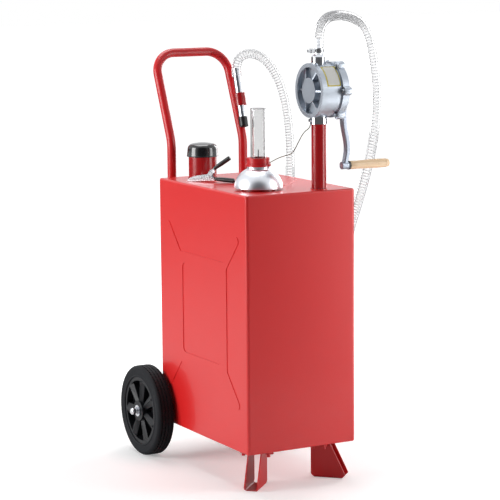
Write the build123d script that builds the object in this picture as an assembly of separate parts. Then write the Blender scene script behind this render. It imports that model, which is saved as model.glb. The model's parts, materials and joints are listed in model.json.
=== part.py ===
from build123d import *
from math import asin, atan2, cos, degrees, pi, radians, sin, sqrt, tan
import os

# Fuel caddy: a welded sheet-steel tank on two wheels and two feet, with a push handle, a capped filler
# neck, a float gauge, a hand-cranked rotary pump with its hose and nozzle, and an earthing lead with a clip.
#
# All sizes are in millimetres. The pieces are drawn about the middle of the tank's underside: +X is to the
# right of someone who faces the bare front panel, +Y runs back to the handle and the wheels, +Z is up.
# At the end every piece is moved alike, so that the origin is the bottom centre of the rigid object's box.

# One overrun for every cut
OVERRUN = 1.0
# Running clearance of a shaft in its bore, and the gap between faces that turn or slide past each other
SHAFT_CLEARANCE = 0.05
FACE_GAP = 0.3

# Tank: outer sizes, sheet, rounded upright edges, folded top and bottom edges, and the lip of the two pans
TANK_WIDTH = 336.0
TANK_DEPTH = 514.0
TANK_HEIGHT = 700.0
TANK_SHEET = 2.0
TANK_CORNER = 8.0
TANK_FOLD = 5.0
PAN_LIP = 10.0

# Pressed brace on both sides: a band round a plain field, with a leg out to each corner
BRACE_RISE = 1.5
BRACE_FIELD_DEPTH = 228.0
BRACE_FIELD_HEIGHT = 255.0
BRACE_BAND = 30.0
BRACE_CORNER = 16.0
BRACE_LEG_WIDTH = 25.0
BRACE_LEG_REACH_Y = 200.0
BRACE_LEG_REACH_Z = 223.0

# Pressed bead on the top
BEAD_WIDTH = 5.0
BEAD_RISE = 0.8
BEAD_START = (40.0, -96.0)
BEAD_END = (132.0, -6.0)

# Feet: bent channels that stand at 45 degrees under the front corners, each with a top plate held by four studs
FOOT_HEIGHT = 105.0
FOOT_WIDTH = 39.0
FOOT_SHEET = 3.0
FOOT_BEND = 7.0
FOOT_BASE_LENGTH = 98.0
FOOT_TOP_LENGTH = 52.0
FOOT_CHAMFER = 10.0
FOOT_SIDE_INSET = 16.0
FOOT_FRONT_INSET = 18.0
FOOT_HEADING = 45.0
FOOT_PLATE_LENGTH = 75.0
FOOT_PLATE_WIDTH = 98.0
FOOT_PLATE_CORNER = 14.0
FOOT_STUD_PITCH = 32.0
FOOT_STUD_SPREAD = 71.0
FOOT_STUD_RADIUS = 5.0
FOOT_STUD_DROP = 16.0
FOOT_NUT_WIDTH = 17.0
FOOT_NUT_HEIGHT = 8.0

# Wheels: solid rubber tyres on moulded plastic centres
WHEEL_RADIUS = 130.0
WHEEL_WIDTH = 52.0
WHEEL_SIDE_GAP = 8.0
AXLE_BEHIND_TANK = 30.0
TYRE_BEAD_RADIUS = 97.0
TYRE_SHOULDER = 11.0
TYRE_GROOVE_WIDTH = 3.5
TYRE_GROOVE_DEPTH = 3.0
TYRE_GROOVE_COUNT = 4
TYRE_GROOVE_PITCH = 10.0
TYRE_RING_WIDTH = 3.0
TYRE_RING_RISE = 1.2
RIM_INNER_RADIUS = 87.0
RIM_RECESS = 3.0
WEB_THICKNESS = 6.0
SPOKE_COUNT = 7
SPOKE_PHASE = 83.0
SPOKE_HUB_WIDTH = 13.0
SPOKE_RIM_WIDTH = 34.0
SPOKE_RECESS = 7.0
HUB_RADIUS = 29.0
HUB_STAND_OUT = 3.0
BUSH_WALL = 2.0

# Axle, its washers, clips and end caps, and the brackets that carry it behind the tank
AXLE_RADIUS = 8.0
AXLE_WASHER_RADIUS = 16.5
AXLE_WASHER_THICKNESS = 2.5
AXLE_CLIP_RADIUS = 11.0
AXLE_CLIP_THICKNESS = 2.0
AXLE_CLIP_OFFSET = 5.0
AXLE_CAP_RADIUS = 10.0
AXLE_CAP_LENGTH = 11.0
AXLE_CAP_OFFSET = 12.0
BRACKET_THICKNESS = 6.0
BRACKET_RADIUS = 20.0
BRACKET_HEIGHT = 82.0
BRACKET_INSET = 25.0
BRACKET_BOSS_RADIUS = 13.0
BRACKET_FOOT_WIDTH = 42.0
BRACKET_FOOT_THICKNESS = 4.0
BRACKET_LOW_EDGE = 3.0

# Handle: one bent tube behind the tank, held off its back on bolted spacers
HANDLE_RADIUS = 12.7
HANDLE_WALL = 1.8
HANDLE_HALF_SPAN = 116.0
HANDLE_BEHIND_TANK = 20.0
HANDLE_FOOT_DROP = 290.0
HANDLE_BEND_RISE = 97.0
HANDLE_TOP_RISE = 345.0
HANDLE_LEAN = 23.0
HANDLE_BEND_RADIUS = 95.0
HANDLE_CORNER_RADIUS = 63.0
SPACER_WIDTH = 30.0
SPACER_HEIGHT = 26.0
SPACER_DROPS = (55.0, 250.0)
HANDLE_BOLT_RADIUS = 4.0
HANDLE_BOLT_REACH = 10.0
HANDLE_BOLT_HEAD_WIDTH = 13.0
HANDLE_BOLT_HEAD_HEIGHT = 5.5

# Nozzle holder: a ring on a tab, welded to the front of the right leg of the handle
HOLDER_RADIUS = 16.5
HOLDER_LENGTH = 36.5
HOLDER_INSET = 3.5
HOLDER_BEHIND_TANK = 27.0
HOLDER_RISE = 208.5
HOLDER_LEAN = 16.0
HOLDER_TAB_THICKNESS = 5.0
HOLDER_TAB_HEIGHT = 18.0
HOLDER_FIT = 0.15

# Nozzle: a chrome tube with a soft black tip and a barb that the hose is pushed on
NOZZLE_RADIUS = 11.0
NOZZLE_WALL = 1.5
NOZZLE_ABOVE_HOLDER = 50.0
NOZZLE_BELOW_HOLDER = 33.5
NOZZLE_TIP_LENGTH = 29.0
NOZZLE_TIP_RADIUS = 13.0
NOZZLE_TIP_BORE = 8.0
NOZZLE_TIP_ROUND = 3.0
NOZZLE_BARB_LENGTH = 24.0

# Filler neck and its domed cap
FILLER_X = -62.0
FILLER_BACK_INSET = 67.0
NECK_RADIUS = 39.5
NECK_WALL = 2.0
NECK_RISE = 83.5
NECK_DROP = 4.0
NECK_GROOVE_RISE = 53.5
NECK_GROOVE = 1.0
CAP_RIM_RISE = 61.5
CAP_HEIGHT = 40.0
CAP_RADIUS = 41.5
CAP_RIM_RADIUS = 45.5
CAP_RIM_HEIGHT = 6.0
CAP_DOME_ROUND = 9.0
CAP_FIT = 0.5
CAP_CROWN_RISE = 4.0
CAP_GASKET_THICKNESS = 3.0
CAP_GASKET_WIDTH = 8.0

# Level gauge: sealing ring, bright dome, screwed collar, closed clear tube, needle, stem, arm and float
GAUGE_X = -65.0
GAUGE_FRONT_INSET = 117.0
GAUGE_HOLE_RADIUS = 44.0
GAUGE_BASE_RADIUS = 49.0
GAUGE_BASE_HEIGHT = 6.0
GAUGE_BASE_BORE = 4.0
DOME_RADIUS = 65.5
DOME_WALL = 2.0
DOME_RIM_LAP = 4.0
DOME_STEPS = 12
DOME_TOP_RADIUS = 31.5
COLLAR_RADIUS = 34.0
COLLAR_RING_HEIGHT = 6.0
COLLAR_UPPER_RADIUS = 30.5
COLLAR_HEIGHT = 23.0
GAUGE_TUBE_RADIUS = 21.0
GAUGE_TUBE_WALL = 2.0
GAUGE_TUBE_LENGTH = 150.0
NEEDLE_RADIUS = 1.3
NEEDLE_SHOWING = 38.0
NEEDLE_GAP = 4.5
STEM_OFFSET = 32.0
STEM_WIDTH = 12.0
STEM_THICKNESS = 3.0
STEM_LENGTH = 350.0
FLOAT_PIN_RADIUS = 2.5
FLOAT_ARM_LENGTH = 335.0
FLOAT_ARM_WIDTH = 12.0
FLOAT_ARM_THICKNESS = 3.0
FLOAT_ARM_ANGLE = 50.0
FLOAT_RADIUS = 33.0

# Pump riser, welded through the top, with the suction pipe and its strainer inside
PORT_X = 72.0
PORT_INSET = 29.0
RISER_RADIUS = 20.0
RISER_WALL = 2.5
RISER_HEIGHT = 177.0
RISER_DROP = 22.0
RISER_BEAD_WIDTH = 2.5
RISER_BEAD_HEIGHT = 3.0
SUCTION_RADIUS = 13.35
SUCTION_WALL = 2.0
SUCTION_FOOT_GAP = 26.0
STRAINER_RADIUS = 17.0
STRAINER_GAP = 8.0
STRAINER_SLOT_COUNT = 6
STRAINER_SLOT_WIDTH = 3.0
STRAINER_LAP = 10.0
STRAINER_END = 3.0
SLEEVE_RADIUS = 23.5
SLEEVE_HEIGHT = 20.0
SLEEVE_SPIGOT = 14.0

# Pump body: an aluminium drum across the riser, with a webbed end and a six-eared flange
PUMP_RISE = 70.0
DRUM_LENGTH = 62.0
DRUM_AHEAD_OF_PORT = 30.0
DRUM_RADIUS = 70.0
DRUM_RIM_RADIUS = 73.0
DRUM_RIM_LENGTH = 12.0
FLANGE_THICKNESS = 8.0
COVER_THICKNESS = 12.0
FACE_RECESS = 15.0
FACE_RIM_WIDTH = 11.0
FACE_BOSS_RADIUS = 34.0
FACE_BOSS_STAND_OUT = 1.5
FACE_RIB_COUNT = 6
FACE_RIB_THICKNESS = 5.0
FACE_RIB_RIM_DROP = 9.0
CHAMBER_RADIUS = 50.0
CHAMBER_RISE = 8.0
CHAMBER_WALL = 9.0
BOLT_CIRCLE = 76.0
EAR_RADIUS = 9.0
EAR_BLEND = 6.0
FLANGE_RADIUS = 75.0
EAR_COUNT = 6
COVER_BOLT_RADIUS = 3.0
COVER_BOLT_HEAD_WIDTH = 10.0
COVER_BOLT_HEAD_HEIGHT = 4.5
INLET_BOSS_RADIUS = 24.0
INLET_BORE = 11.0
SUCTION_INSERT = 14.0
OUTLET_BOSS_RADIUS = 23.0
OUTLET_BOSS_RISE = 67.0
OUTLET_BORE = 10.0
ROTOR_RADIUS = 40.0
VANE_COUNT = 2
VANE_THICKNESS = 4.0
VANE_DEPTH = 22.0
VANE_STAND_OUT = 1.2
SHAFT_RADIUS = 8.0
SHAFT_SEAT = 14.0
COVER_BOSS_RADIUS = 22.0
COVER_BOSS_LENGTH = 10.0
PACKING_NUT_WIDTH = 30.0
PACKING_NUT_LENGTH = 8.0

# Crank: a cast arm with a swept shape, and a turned wooden grip that spins on a spindle
CRANK_LENGTH = 207.0
CRANK_HUB_RADIUS = 16.0
CRANK_HUB_LENGTH = 15.0
CRANK_HUB_GAP = 1.0
CRANK_BOSS_RADIUS = 10.5
CRANK_BOSS_LENGTH = 20.0
CRANK_BOSS_SHIFT = 2.5
ARM_DROP_SHARES = (0.0, 0.20, 0.42, 0.58, 0.80, 0.93, 1.0)
ARM_SHIFTS = (0.0, -1.5, -2.0, 3.5, 9.5, 4.5, 2.5)
ARM_THICKNESSES = (12.0, 12.0, 13.0, 13.5, 13.5, 12.5, 11.0)
ARM_WIDTHS = (24.0, 21.0, 19.0, 18.0, 17.0, 16.5, 15.0)
ARM_ROUND = 3.5
CRANK_SCREW_RADIUS = 3.0
CRANK_SCREW_HEAD = 5.0
CRANK_SCREW_STAND_OUT = 5.0
FERRULE_RADIUS = 12.0
FERRULE_LENGTH = 4.5
GRIP_LENGTH = 124.0
GRIP_RADII = (11.0, 12.0, 11.6, 12.2, 12.6, 12.3, 9.8)
GRIP_LENGTH_SHARES = (0.0, 0.05, 0.2, 0.5, 0.72, 0.92, 1.0)
SPINDLE_RADIUS = 4.0
SPINDLE_HEAD_RADIUS = 6.5
SPINDLE_HEAD_LENGTH = 4.0
SPINDLE_HEAD_DEPTH = 6.0

# Outlet fitting on top of the pump, and the worm-drive clamp round the hose
FITTING_RADIUS = 19.5
FITTING_HEIGHT = 22.0
FITTING_CONE_HEIGHT = 7.0
FITTING_TOP_RADIUS = 14.5
FITTING_BORE = 7.0
FITTING_SPIGOT = 8.0
FITTING_BARB_LENGTH = 40.0
HOSE_CLAMP_WALL = 1.2
HOSE_CLAMP_WIDTH = 12.0
HOSE_CLAMP_RISE = 3.0
HOSE_CLAMP_HOUSING = 11.0
HOSE_CLAMP_SCREW_RADIUS = 4.0
HOSE_CLAMP_SCREW_LENGTH = 9.0

# Hose: clear, smooth outside, pushed over a barb at each end
HOSE_RADIUS = 13.5
HOSE_BORE = 9.5
CORD_RUN_SHARE = 0.45
HOSE_START_RUN = 74.0
HOSE_END_RUN = 46.0
HOSE_POINTS = (
    (93.0, -206.0, 1180.0),
    (136.0, -166.0, 1200.0),
    (190.0, -117.0, 1189.0),
    (244.0, -70.0, 1165.0),
    (300.0, -39.0, 1133.0),
    (332.0, -51.0, 1095.0),
    (336.0, -76.0, 1052.0),
    (335.5, -92.0, 1000.0),
    (334.5, -102.0, 944.0),
    (331.5, -106.0, 886.0),
    (325.5, -105.0, 826.0),
    (316.5, -99.0, 765.0),
    (307.0, -86.0, 703.0),
    (299.0, -66.0, 638.0),
    (296.0, -32.0, 570.0),
    (295.0, -4.0, 498.0),
    (293.0, 25.0, 426.0),
    (291.0, 62.0, 360.0),
    (288.0, 118.0, 316.0),
    (285.0, 184.0, 312.0),
    (282.0, 240.0, 350.0),
    (280.0, 270.0, 414.0),
    (279.0, 282.0, 486.0),
    (279.0, 286.5, 560.0),
    (280.0, 288.0, 634.0),
    (281.0, 288.5, 708.0),
    (280.5, 290.5, 780.0),
    (275.0, 293.0, 850.0),
    (262.0, 295.0, 918.0),
    (238.0, 298.0, 980.0),
    (200.0, 303.0, 1028.0),
    (152.0, 309.0, 1044.0),
)

# Earthing lead, from a lug on the sleeve under the pump to the lower grip of the clip
LEAD_RADIUS = 1.25
LEAD_START_RUN = 8.0
LEAD_END_RUN = 20.0
LEAD_POINTS = (
    (33.3, -215.0, 855.8),
    (27.5, -197.0, 828.9),
    (26.1, -168.0, 794.2),
    (19.0, -138.0, 786.1),
    (13.2, -112.0, 778.5),
    (4.5, -88.0, 766.2),
    (-12.0, -66.0, 752.0),
    (-21.0, -41.0, 734.0),
    (-31.0, -14.0, 716.0),
)
LUG_SCREW_RADIUS = 4.5
LUG_SCREW_LENGTH = 6.0
LUG_BARREL_RADIUS = 2.5
LUG_BARREL_LENGTH = 11.0

# Clip on edge on the tank: outlines along it from its tips, in shares of its jaw length and pin height
CLIP_TIP_X = -135.0
CLIP_TIP_Y = 139.0
CLIP_HEADING = -54.2
CLIP_JAW_LENGTH = 66.0
CLIP_PIN_RISE = 14.0
CLIP_WIDTH = 14.0
CLIP_SHEET = 1.5
CLIP_CHEEK_RADIUS = 6.0
CLIP_PIN_RADIUS = 2.5
CLIP_PIN_HEAD = 1.5
CLIP_LOWER_SHARES = ((0.0, 0.0), (1.0, 0.3), (1.28, 0.42), (1.28, 0.85), (1.1, 1.25), (0.9, 1.25),
                     (0.75, 0.62), (0.0, 0.28))
CLIP_UPPER_SHARES = ((0.0, 0.33), (0.75, 0.7), (0.92, 0.62), (1.1, 0.75), (1.22, 1.9), (1.2, 2.6),
                     (1.07, 2.45), (0.95, 1.6), (0.42, 1.2), (0.15, 0.8))
CLIP_TOOTH_COUNT = 6
CLIP_TOOTH_PITCH = 5.0
CLIP_TOOTH_SIZE = 1.6
CLIP_TONGUE_THICKNESS = 3.0
CLIP_TONGUE_WIDTH = 9.0
CLIP_TONGUE_LAP = 7.0
CLIP_SLEEVE_WIDTH = 14.0
CLIP_SLEEVE_HEIGHT = 9.6
CLIP_SLEEVE_END = 2.0
CLIP_SLEEVE_ROUND_SHARE = 0.42
CLIP_LOWER_HANDLE_SHARES = ((1.30, 0.58), (2.15, 0.37))
CLIP_UPPER_HANDLE_SHARES = ((1.24, 2.72), (1.95, 4.95))
CLIP_SPRING_WALL = 2.0
CLIP_SPRING_LENGTH = 6.4

# Places that follow from the sizes above
BACK_Y = TANK_DEPTH / 2
FOOT_END_X = TANK_WIDTH / 2 - FOOT_SIDE_INSET
FOOT_END_Y = FOOT_FRONT_INSET - TANK_DEPTH / 2
AXLE_Y = BACK_Y + AXLE_BEHIND_TANK
AXLE_Z = WHEEL_RADIUS - FOOT_HEIGHT
WHEEL_INNER_X = TANK_WIDTH / 2 + WHEEL_SIDE_GAP
WHEEL_MIDDLE_X = WHEEL_INNER_X + WHEEL_WIDTH / 2
HUB_OUTER_X = WHEEL_INNER_X + WHEEL_WIDTH + HUB_STAND_OUT
HUB_INNER_X = WHEEL_INNER_X - HUB_STAND_OUT
HANDLE_Y = BACK_Y + HANDLE_BEHIND_TANK
HANDLE_FOOT_Z = TANK_HEIGHT - HANDLE_FOOT_DROP
HANDLE_BEND_Z = TANK_HEIGHT + HANDLE_BEND_RISE
HANDLE_TOP_Z = TANK_HEIGHT + HANDLE_TOP_RISE
HANDLE_TOP_Y = HANDLE_Y + (HANDLE_TOP_Z - HANDLE_BEND_Z) * tan(radians(HANDLE_LEAN))
HOLDER_AXIS = Vector(0, sin(radians(HOLDER_LEAN)), cos(radians(HOLDER_LEAN)))
HOLDER_CENTRE = Vector(HANDLE_HALF_SPAN - HOLDER_INSET, BACK_Y + HOLDER_BEHIND_TANK, TANK_HEIGHT + HOLDER_RISE)
NOZZLE_TOP = HOLDER_CENTRE + HOLDER_AXIS * (HOLDER_LENGTH / 2 + NOZZLE_ABOVE_HOLDER)
NOZZLE_SHOULDER = HOLDER_CENTRE - HOLDER_AXIS * (HOLDER_LENGTH / 2 + NOZZLE_BELOW_HOLDER)
FILLER_Y = BACK_Y - FILLER_BACK_INSET
GAUGE_Y = GAUGE_FRONT_INSET - TANK_DEPTH / 2
NECK_TOP_Z = TANK_HEIGHT + NECK_RISE
CAP_RIM_Z = TANK_HEIGHT + CAP_RIM_RISE
DOME_BASE_Z = TANK_HEIGHT + GAUGE_BASE_HEIGHT
DOME_HEIGHT = sqrt(DOME_RADIUS ** 2 - DOME_TOP_RADIUS ** 2)
COLLAR_BASE_Z = DOME_BASE_Z + DOME_HEIGHT
GAUGE_TUBE_Z = COLLAR_BASE_Z + COLLAR_RING_HEIGHT
NEEDLE_TOP_Z = GAUGE_TUBE_Z + NEEDLE_SHOWING
STEM_Y = GAUGE_Y - STEM_OFFSET
STEM_PIVOT_Z = TANK_HEIGHT - STEM_LENGTH
PORT_Y = PORT_INSET - TANK_DEPTH / 2
RISER_TOP_Z = TANK_HEIGHT + RISER_HEIGHT
SLEEVE_TOP_Z = RISER_TOP_Z + SLEEVE_HEIGHT
PUMP_Z = SLEEVE_TOP_Z + PUMP_RISE
DRUM_FRONT_X = PORT_X - DRUM_AHEAD_OF_PORT
RECESS_END_X = DRUM_FRONT_X + FACE_RECESS
CHAMBER_FRONT_X = RECESS_END_X + CHAMBER_WALL
FLANGE_X = DRUM_FRONT_X + DRUM_LENGTH
COVER_X = FLANGE_X + FLANGE_THICKNESS
COVER_OUTER_X = COVER_X + COVER_THICKNESS
PACKING_X = COVER_OUTER_X + COVER_BOSS_LENGTH
CRANK_HUB_X = PACKING_X + PACKING_NUT_LENGTH + CRANK_HUB_GAP
ARM_X = CRANK_HUB_X + CRANK_HUB_LENGTH / 2
CRANK_END_Z = PUMP_Z - CRANK_LENGTH
BOSS_INNER_X = ARM_X + CRANK_BOSS_SHIFT - CRANK_BOSS_LENGTH / 2
FERRULE_X = BOSS_INNER_X + CRANK_BOSS_LENGTH + FACE_GAP
GRIP_X = FERRULE_X + FERRULE_LENGTH
GRIP_END_X = GRIP_X + GRIP_LENGTH
OUTLET_BOSS_Z = PUMP_Z + OUTLET_BOSS_RISE
BARB_Z = OUTLET_BOSS_Z + FITTING_HEIGHT + FITTING_CONE_HEIGHT
LUG_X = PORT_X - SLEEVE_RADIUS - LUG_SCREW_LENGTH / 2
LUG_Z = RISER_TOP_Z + SLEEVE_HEIGHT / 2


# Helpers

def rod(radius, start, end):
    """A round bar from one point to another."""
    start, end = Vector(*start), Vector(*end)
    base = (Align.CENTER, Align.CENTER, Align.MIN)
    return Plane(origin=start, z_dir=end - start) * Cylinder(radius, (end - start).length, align=base)


def pipe(radius, bore, start, end):
    """A round bar with a hole all the way through."""
    start, end = Vector(*start), Vector(*end)
    past = (end - start).normalized() * OVERRUN
    return rod(radius, start, end) - rod(bore, start - past, end + past)


def block(low, high):
    """A box between two opposite corners."""
    size = Vector(*high) - Vector(*low)
    corner = (Align.MIN, Align.MIN, Align.MIN)
    return Pos(*low) * Box(size.X, size.Y, size.Z, align=corner)


def hexagon(across_flats, start, end):
    """A hexagonal bar from one point to another."""
    start, end = Vector(*start), Vector(*end)
    outline = Plane(origin=start, z_dir=end - start) * RegularPolygon(across_flats / 2, 6, major_radius=False)
    return extrude(outline, (end - start).length)


def turned(points, centre, z_dir=(0, 0, 1)):
    """A solid of revolution from (radius, height) points, standing at a centre on its own axis."""
    outline = Plane.XZ * make_face(Polyline(*points, close=True))
    return Plane(origin=centre, z_dir=z_dir) * revolve(outline, Axis.Z)


def arc_points(centre, radius, start, end, steps):
    """Points along an arc, for a turned outline: angles in degrees from the first axis."""
    angles = [radians(start + (end - start) * step / steps) for step in range(steps + 1)]
    return [(centre[0] + radius * cos(angle), centre[1] + radius * sin(angle)) for angle in angles]


def corner_radii(points):
    """The largest radii that let each corner's arc use its share of the shorter run beside it."""
    radii = []
    for before, here, after in zip(points, points[1:], points[2:]):
        arriving, leaving = here - before, after - here
        shorter = min(arriving.length, leaving.length)
        half_turn = radians(arriving.get_angle(leaving)) / 2
        radii.append(CORD_RUN_SHARE * shorter / tan(half_turn))
    return radii


def cord(points, radius, bore=0.0):
    """A tube along straight runs that tangent arcs join, with a hole along it where a bore is given."""
    path = FilletPolyline(*points, radius=corner_radii(points))
    section = Circle(radius) if bore == 0.0 else Circle(radius) - Circle(bore)
    start = Plane(origin=path @ 0, z_dir=path % 0)
    return sweep(start * section, path=path), path


def mirrored(piece):
    """The same piece on the other side of the middle plane."""
    return mirror(piece, Plane.YZ)


# Tank

def brace_outline():
    """The pressed band as a flat shape: a frame round the plain field and four legs."""
    outer = RectangleRounded(BRACE_FIELD_DEPTH + 2 * BRACE_BAND, BRACE_FIELD_HEIGHT + 2 * BRACE_BAND, BRACE_CORNER)
    field = RectangleRounded(BRACE_FIELD_DEPTH, BRACE_FIELD_HEIGHT, BRACE_CORNER)
    start_y = BRACE_FIELD_DEPTH / 2 + BRACE_BAND / 2
    start_z = BRACE_FIELD_HEIGHT / 2 + BRACE_BAND / 2
    run_y, run_z = BRACE_LEG_REACH_Y - start_y, BRACE_LEG_REACH_Z - start_z
    for side_y in (-1, 1):
        for side_z in (-1, 1):
            middle = Pos(side_y * (start_y + run_y / 2), side_z * (start_z + run_z / 2))
            heading = degrees(atan2(side_z * run_z, side_y * run_y))
            outer += middle * Rot(0, 0, heading) * SlotCenterToCenter(sqrt(run_y ** 2 + run_z ** 2), BRACE_LEG_WIDTH)
    return outer - field


def tank_shell():
    """The four walls, bent from one sheet, with the brace pressed outwards on both sides."""
    inner_width, inner_depth = TANK_WIDTH - 2 * TANK_SHEET, TANK_DEPTH - 2 * TANK_SHEET
    walls = RectangleRounded(TANK_WIDTH, TANK_DEPTH, TANK_CORNER)
    walls -= RectangleRounded(inner_width, inner_depth, TANK_CORNER - TANK_SHEET)
    shell = Pos(0, 0, PAN_LIP) * extrude(walls, TANK_HEIGHT - 2 * PAN_LIP)
    for side in (-1, 1):
        panel = Plane(origin=(side * TANK_WIDTH / 2, 0, TANK_HEIGHT / 2), x_dir=(0, side, 0), z_dir=(side, 0, 0))
        shell += extrude(panel * brace_outline(), BRACE_RISE)
    for x, z in handle_bolt_places():
        shell -= rod(HANDLE_BOLT_RADIUS, (x, BACK_Y - TANK_SHEET - OVERRUN, z), (x, BACK_Y + OVERRUN, z))
    return shell


def pan():
    """A shallow pressed pan, open below, with its rim at zero height."""
    outer = extrude(RectangleRounded(TANK_WIDTH, TANK_DEPTH, TANK_CORNER), PAN_LIP)
    outer = fillet(outer.faces().sort_by(Axis.Z)[-1].edges(), TANK_FOLD)
    inner_width, inner_depth = TANK_WIDTH - 2 * TANK_SHEET, TANK_DEPTH - 2 * TANK_SHEET
    inner = RectangleRounded(inner_width, inner_depth, TANK_CORNER - TANK_SHEET)
    hollow = extrude(inner, PAN_LIP - TANK_SHEET)
    hollow = fillet(hollow.faces().sort_by(Axis.Z)[-1].edges(), TANK_FOLD - TANK_SHEET)
    return outer - hollow


def tank_top():
    """The top pan with its bead, the holes for the neck and gauge, and the weld bead round the riser."""
    top = Pos(0, 0, TANK_HEIGHT - PAN_LIP) * pan()
    run_x, run_y = BEAD_END[0] - BEAD_START[0], BEAD_END[1] - BEAD_START[1]
    slot = SlotCenterToCenter(sqrt(run_x ** 2 + run_y ** 2), BEAD_WIDTH)
    middle = Pos(BEAD_START[0] + run_x / 2, BEAD_START[1] + run_y / 2, TANK_HEIGHT)
    top += middle * Rot(0, 0, degrees(atan2(run_y, run_x))) * extrude(slot, BEAD_RISE)
    bead_top = (PORT_X, PORT_Y, TANK_HEIGHT + RISER_BEAD_HEIGHT)
    top += rod(RISER_RADIUS + RISER_BEAD_WIDTH, (PORT_X, PORT_Y, TANK_HEIGHT - TANK_SHEET), bead_top)
    low_z, high_z = TANK_HEIGHT - TANK_SHEET - OVERRUN, TANK_HEIGHT + RISER_BEAD_HEIGHT + OVERRUN
    for x, y, radius in ((FILLER_X, FILLER_Y, NECK_RADIUS), (GAUGE_X, GAUGE_Y, GAUGE_HOLE_RADIUS),
                         (PORT_X, PORT_Y, RISER_RADIUS)):
        top -= rod(radius, (x, y, low_z), (x, y, high_z))
    return top


def tank_bottom():
    """The bottom pan, with holes for the feet's studs."""
    bottom = Pos(0, 0, PAN_LIP) * Rot(180, 0, 0) * pan()
    for side in (-1, 1):
        for x, y in foot_stud_places(side):
            bottom -= rod(FOOT_STUD_RADIUS, (x, y, -OVERRUN), (x, y, TANK_SHEET + OVERRUN))
    return bottom


# Feet

def foot_place(side):
    """The frame of a foot: its outer end at the origin, its length along -X, its top at zero height."""
    heading = -FOOT_HEADING if side > 0 else FOOT_HEADING - 180
    return Pos(side * FOOT_END_X, FOOT_END_Y, 0) * Rot(0, 0, heading)


def foot_stud_places(side):
    """Where the four studs of a foot stand, as (x, y)."""
    middle = FOOT_BASE_LENGTH - FOOT_TOP_LENGTH / 2
    places = []
    for along in (-1, 1):
        for across in (-1, 1):
            spot = Pos(-middle + along * FOOT_STUD_PITCH / 2, across * FOOT_STUD_SPREAD / 2, 0)
            places.append(tuple((foot_place(side) * spot).position)[:2])
    return places


def foot(side):
    """A channel with a slanted outer end, chamfered below, under a plate that is nutted to the tank."""
    half, length = FOOT_WIDTH / 2, FOOT_BASE_LENGTH
    inner_bend = FOOT_BEND - FOOT_SHEET
    bar = block((-length, -half, -FOOT_HEIGHT), (0, half, -FOOT_SHEET))
    bar = fillet(bar.edges().filter_by(Axis.X).sort_by(Axis.Z)[:2], FOOT_BEND)
    bore = block((-length - OVERRUN, FOOT_SHEET - half, FOOT_SHEET - FOOT_HEIGHT), (OVERRUN, half - FOOT_SHEET, 0))
    bore = fillet(bore.edges().filter_by(Axis.X).sort_by(Axis.Z)[:2], inner_bend)
    slant = length - FOOT_TOP_LENGTH
    side_view = Polygon(
        (-length, 0), (-length, FOOT_CHAMFER - FOOT_HEIGHT), (FOOT_CHAMFER - length, -FOOT_HEIGHT),
        (-FOOT_CHAMFER, -FOOT_HEIGHT), (0, FOOT_CHAMFER - FOOT_HEIGHT), (-slant, 0), align=None)
    outline = extrude(Plane.XZ * side_view, FOOT_WIDTH, both=True)
    plate = Rectangle(FOOT_PLATE_LENGTH, FOOT_PLATE_WIDTH)
    plate = chamfer(plate.vertices(), FOOT_PLATE_CORNER)
    top = Pos(-length + FOOT_TOP_LENGTH / 2, 0, -FOOT_SHEET) * extrude(plate, FOOT_SHEET)
    piece = foot_place(side) * ((bar - bore) & outline) + foot_place(side) * top
    for x, y in foot_stud_places(side):
        piece -= rod(FOOT_STUD_RADIUS, (x, y, -FOOT_SHEET - OVERRUN), (x, y, OVERRUN))
    return piece


def foot_studs():
    """Eight studs welded in the tank's bottom, with a nut on each below the feet's plates."""
    studs = []
    for side in (-1, 1):
        for x, y in foot_stud_places(side):
            seat = (x, y, -FOOT_SHEET)
            stud = rod(FOOT_STUD_RADIUS, (x, y, -FOOT_SHEET - FOOT_STUD_DROP), (x, y, TANK_SHEET))
            studs.append(stud + hexagon(FOOT_NUT_WIDTH, (x, y, -FOOT_SHEET - FOOT_NUT_HEIGHT), seat))
    return Compound(studs)


# Wheels, axle and brackets

def tyre(side):
    """A solid rubber tyre with grooves round its tread and a raised ring on each side."""
    half, radius = WHEEL_WIDTH / 2, WHEEL_RADIUS
    shoulder = arc_points((half - TYRE_SHOULDER, radius - TYRE_SHOULDER), TYRE_SHOULDER, 0, 90, 5)
    right = [(half - TYRE_RING_RISE, TYRE_BEAD_RADIUS), (half, TYRE_BEAD_RADIUS + TYRE_RING_WIDTH),
             (half - TYRE_RING_RISE, TYRE_BEAD_RADIUS + 2 * TYRE_RING_WIDTH)] + shoulder
    left = [(-x, y) for x, y in reversed(right)]
    section = make_face(Polyline(*right, *left, close=True))
    for groove in range(TYRE_GROOVE_COUNT):
        x = (groove - (TYRE_GROOVE_COUNT - 1) / 2) * TYRE_GROOVE_PITCH
        section -= Pos(x, radius) * Rectangle(TYRE_GROOVE_WIDTH, 2 * TYRE_GROOVE_DEPTH)
    return Pos(side * WHEEL_MIDDLE_X, AXLE_Y, AXLE_Z) * revolve(section, Axis.X)


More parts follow.
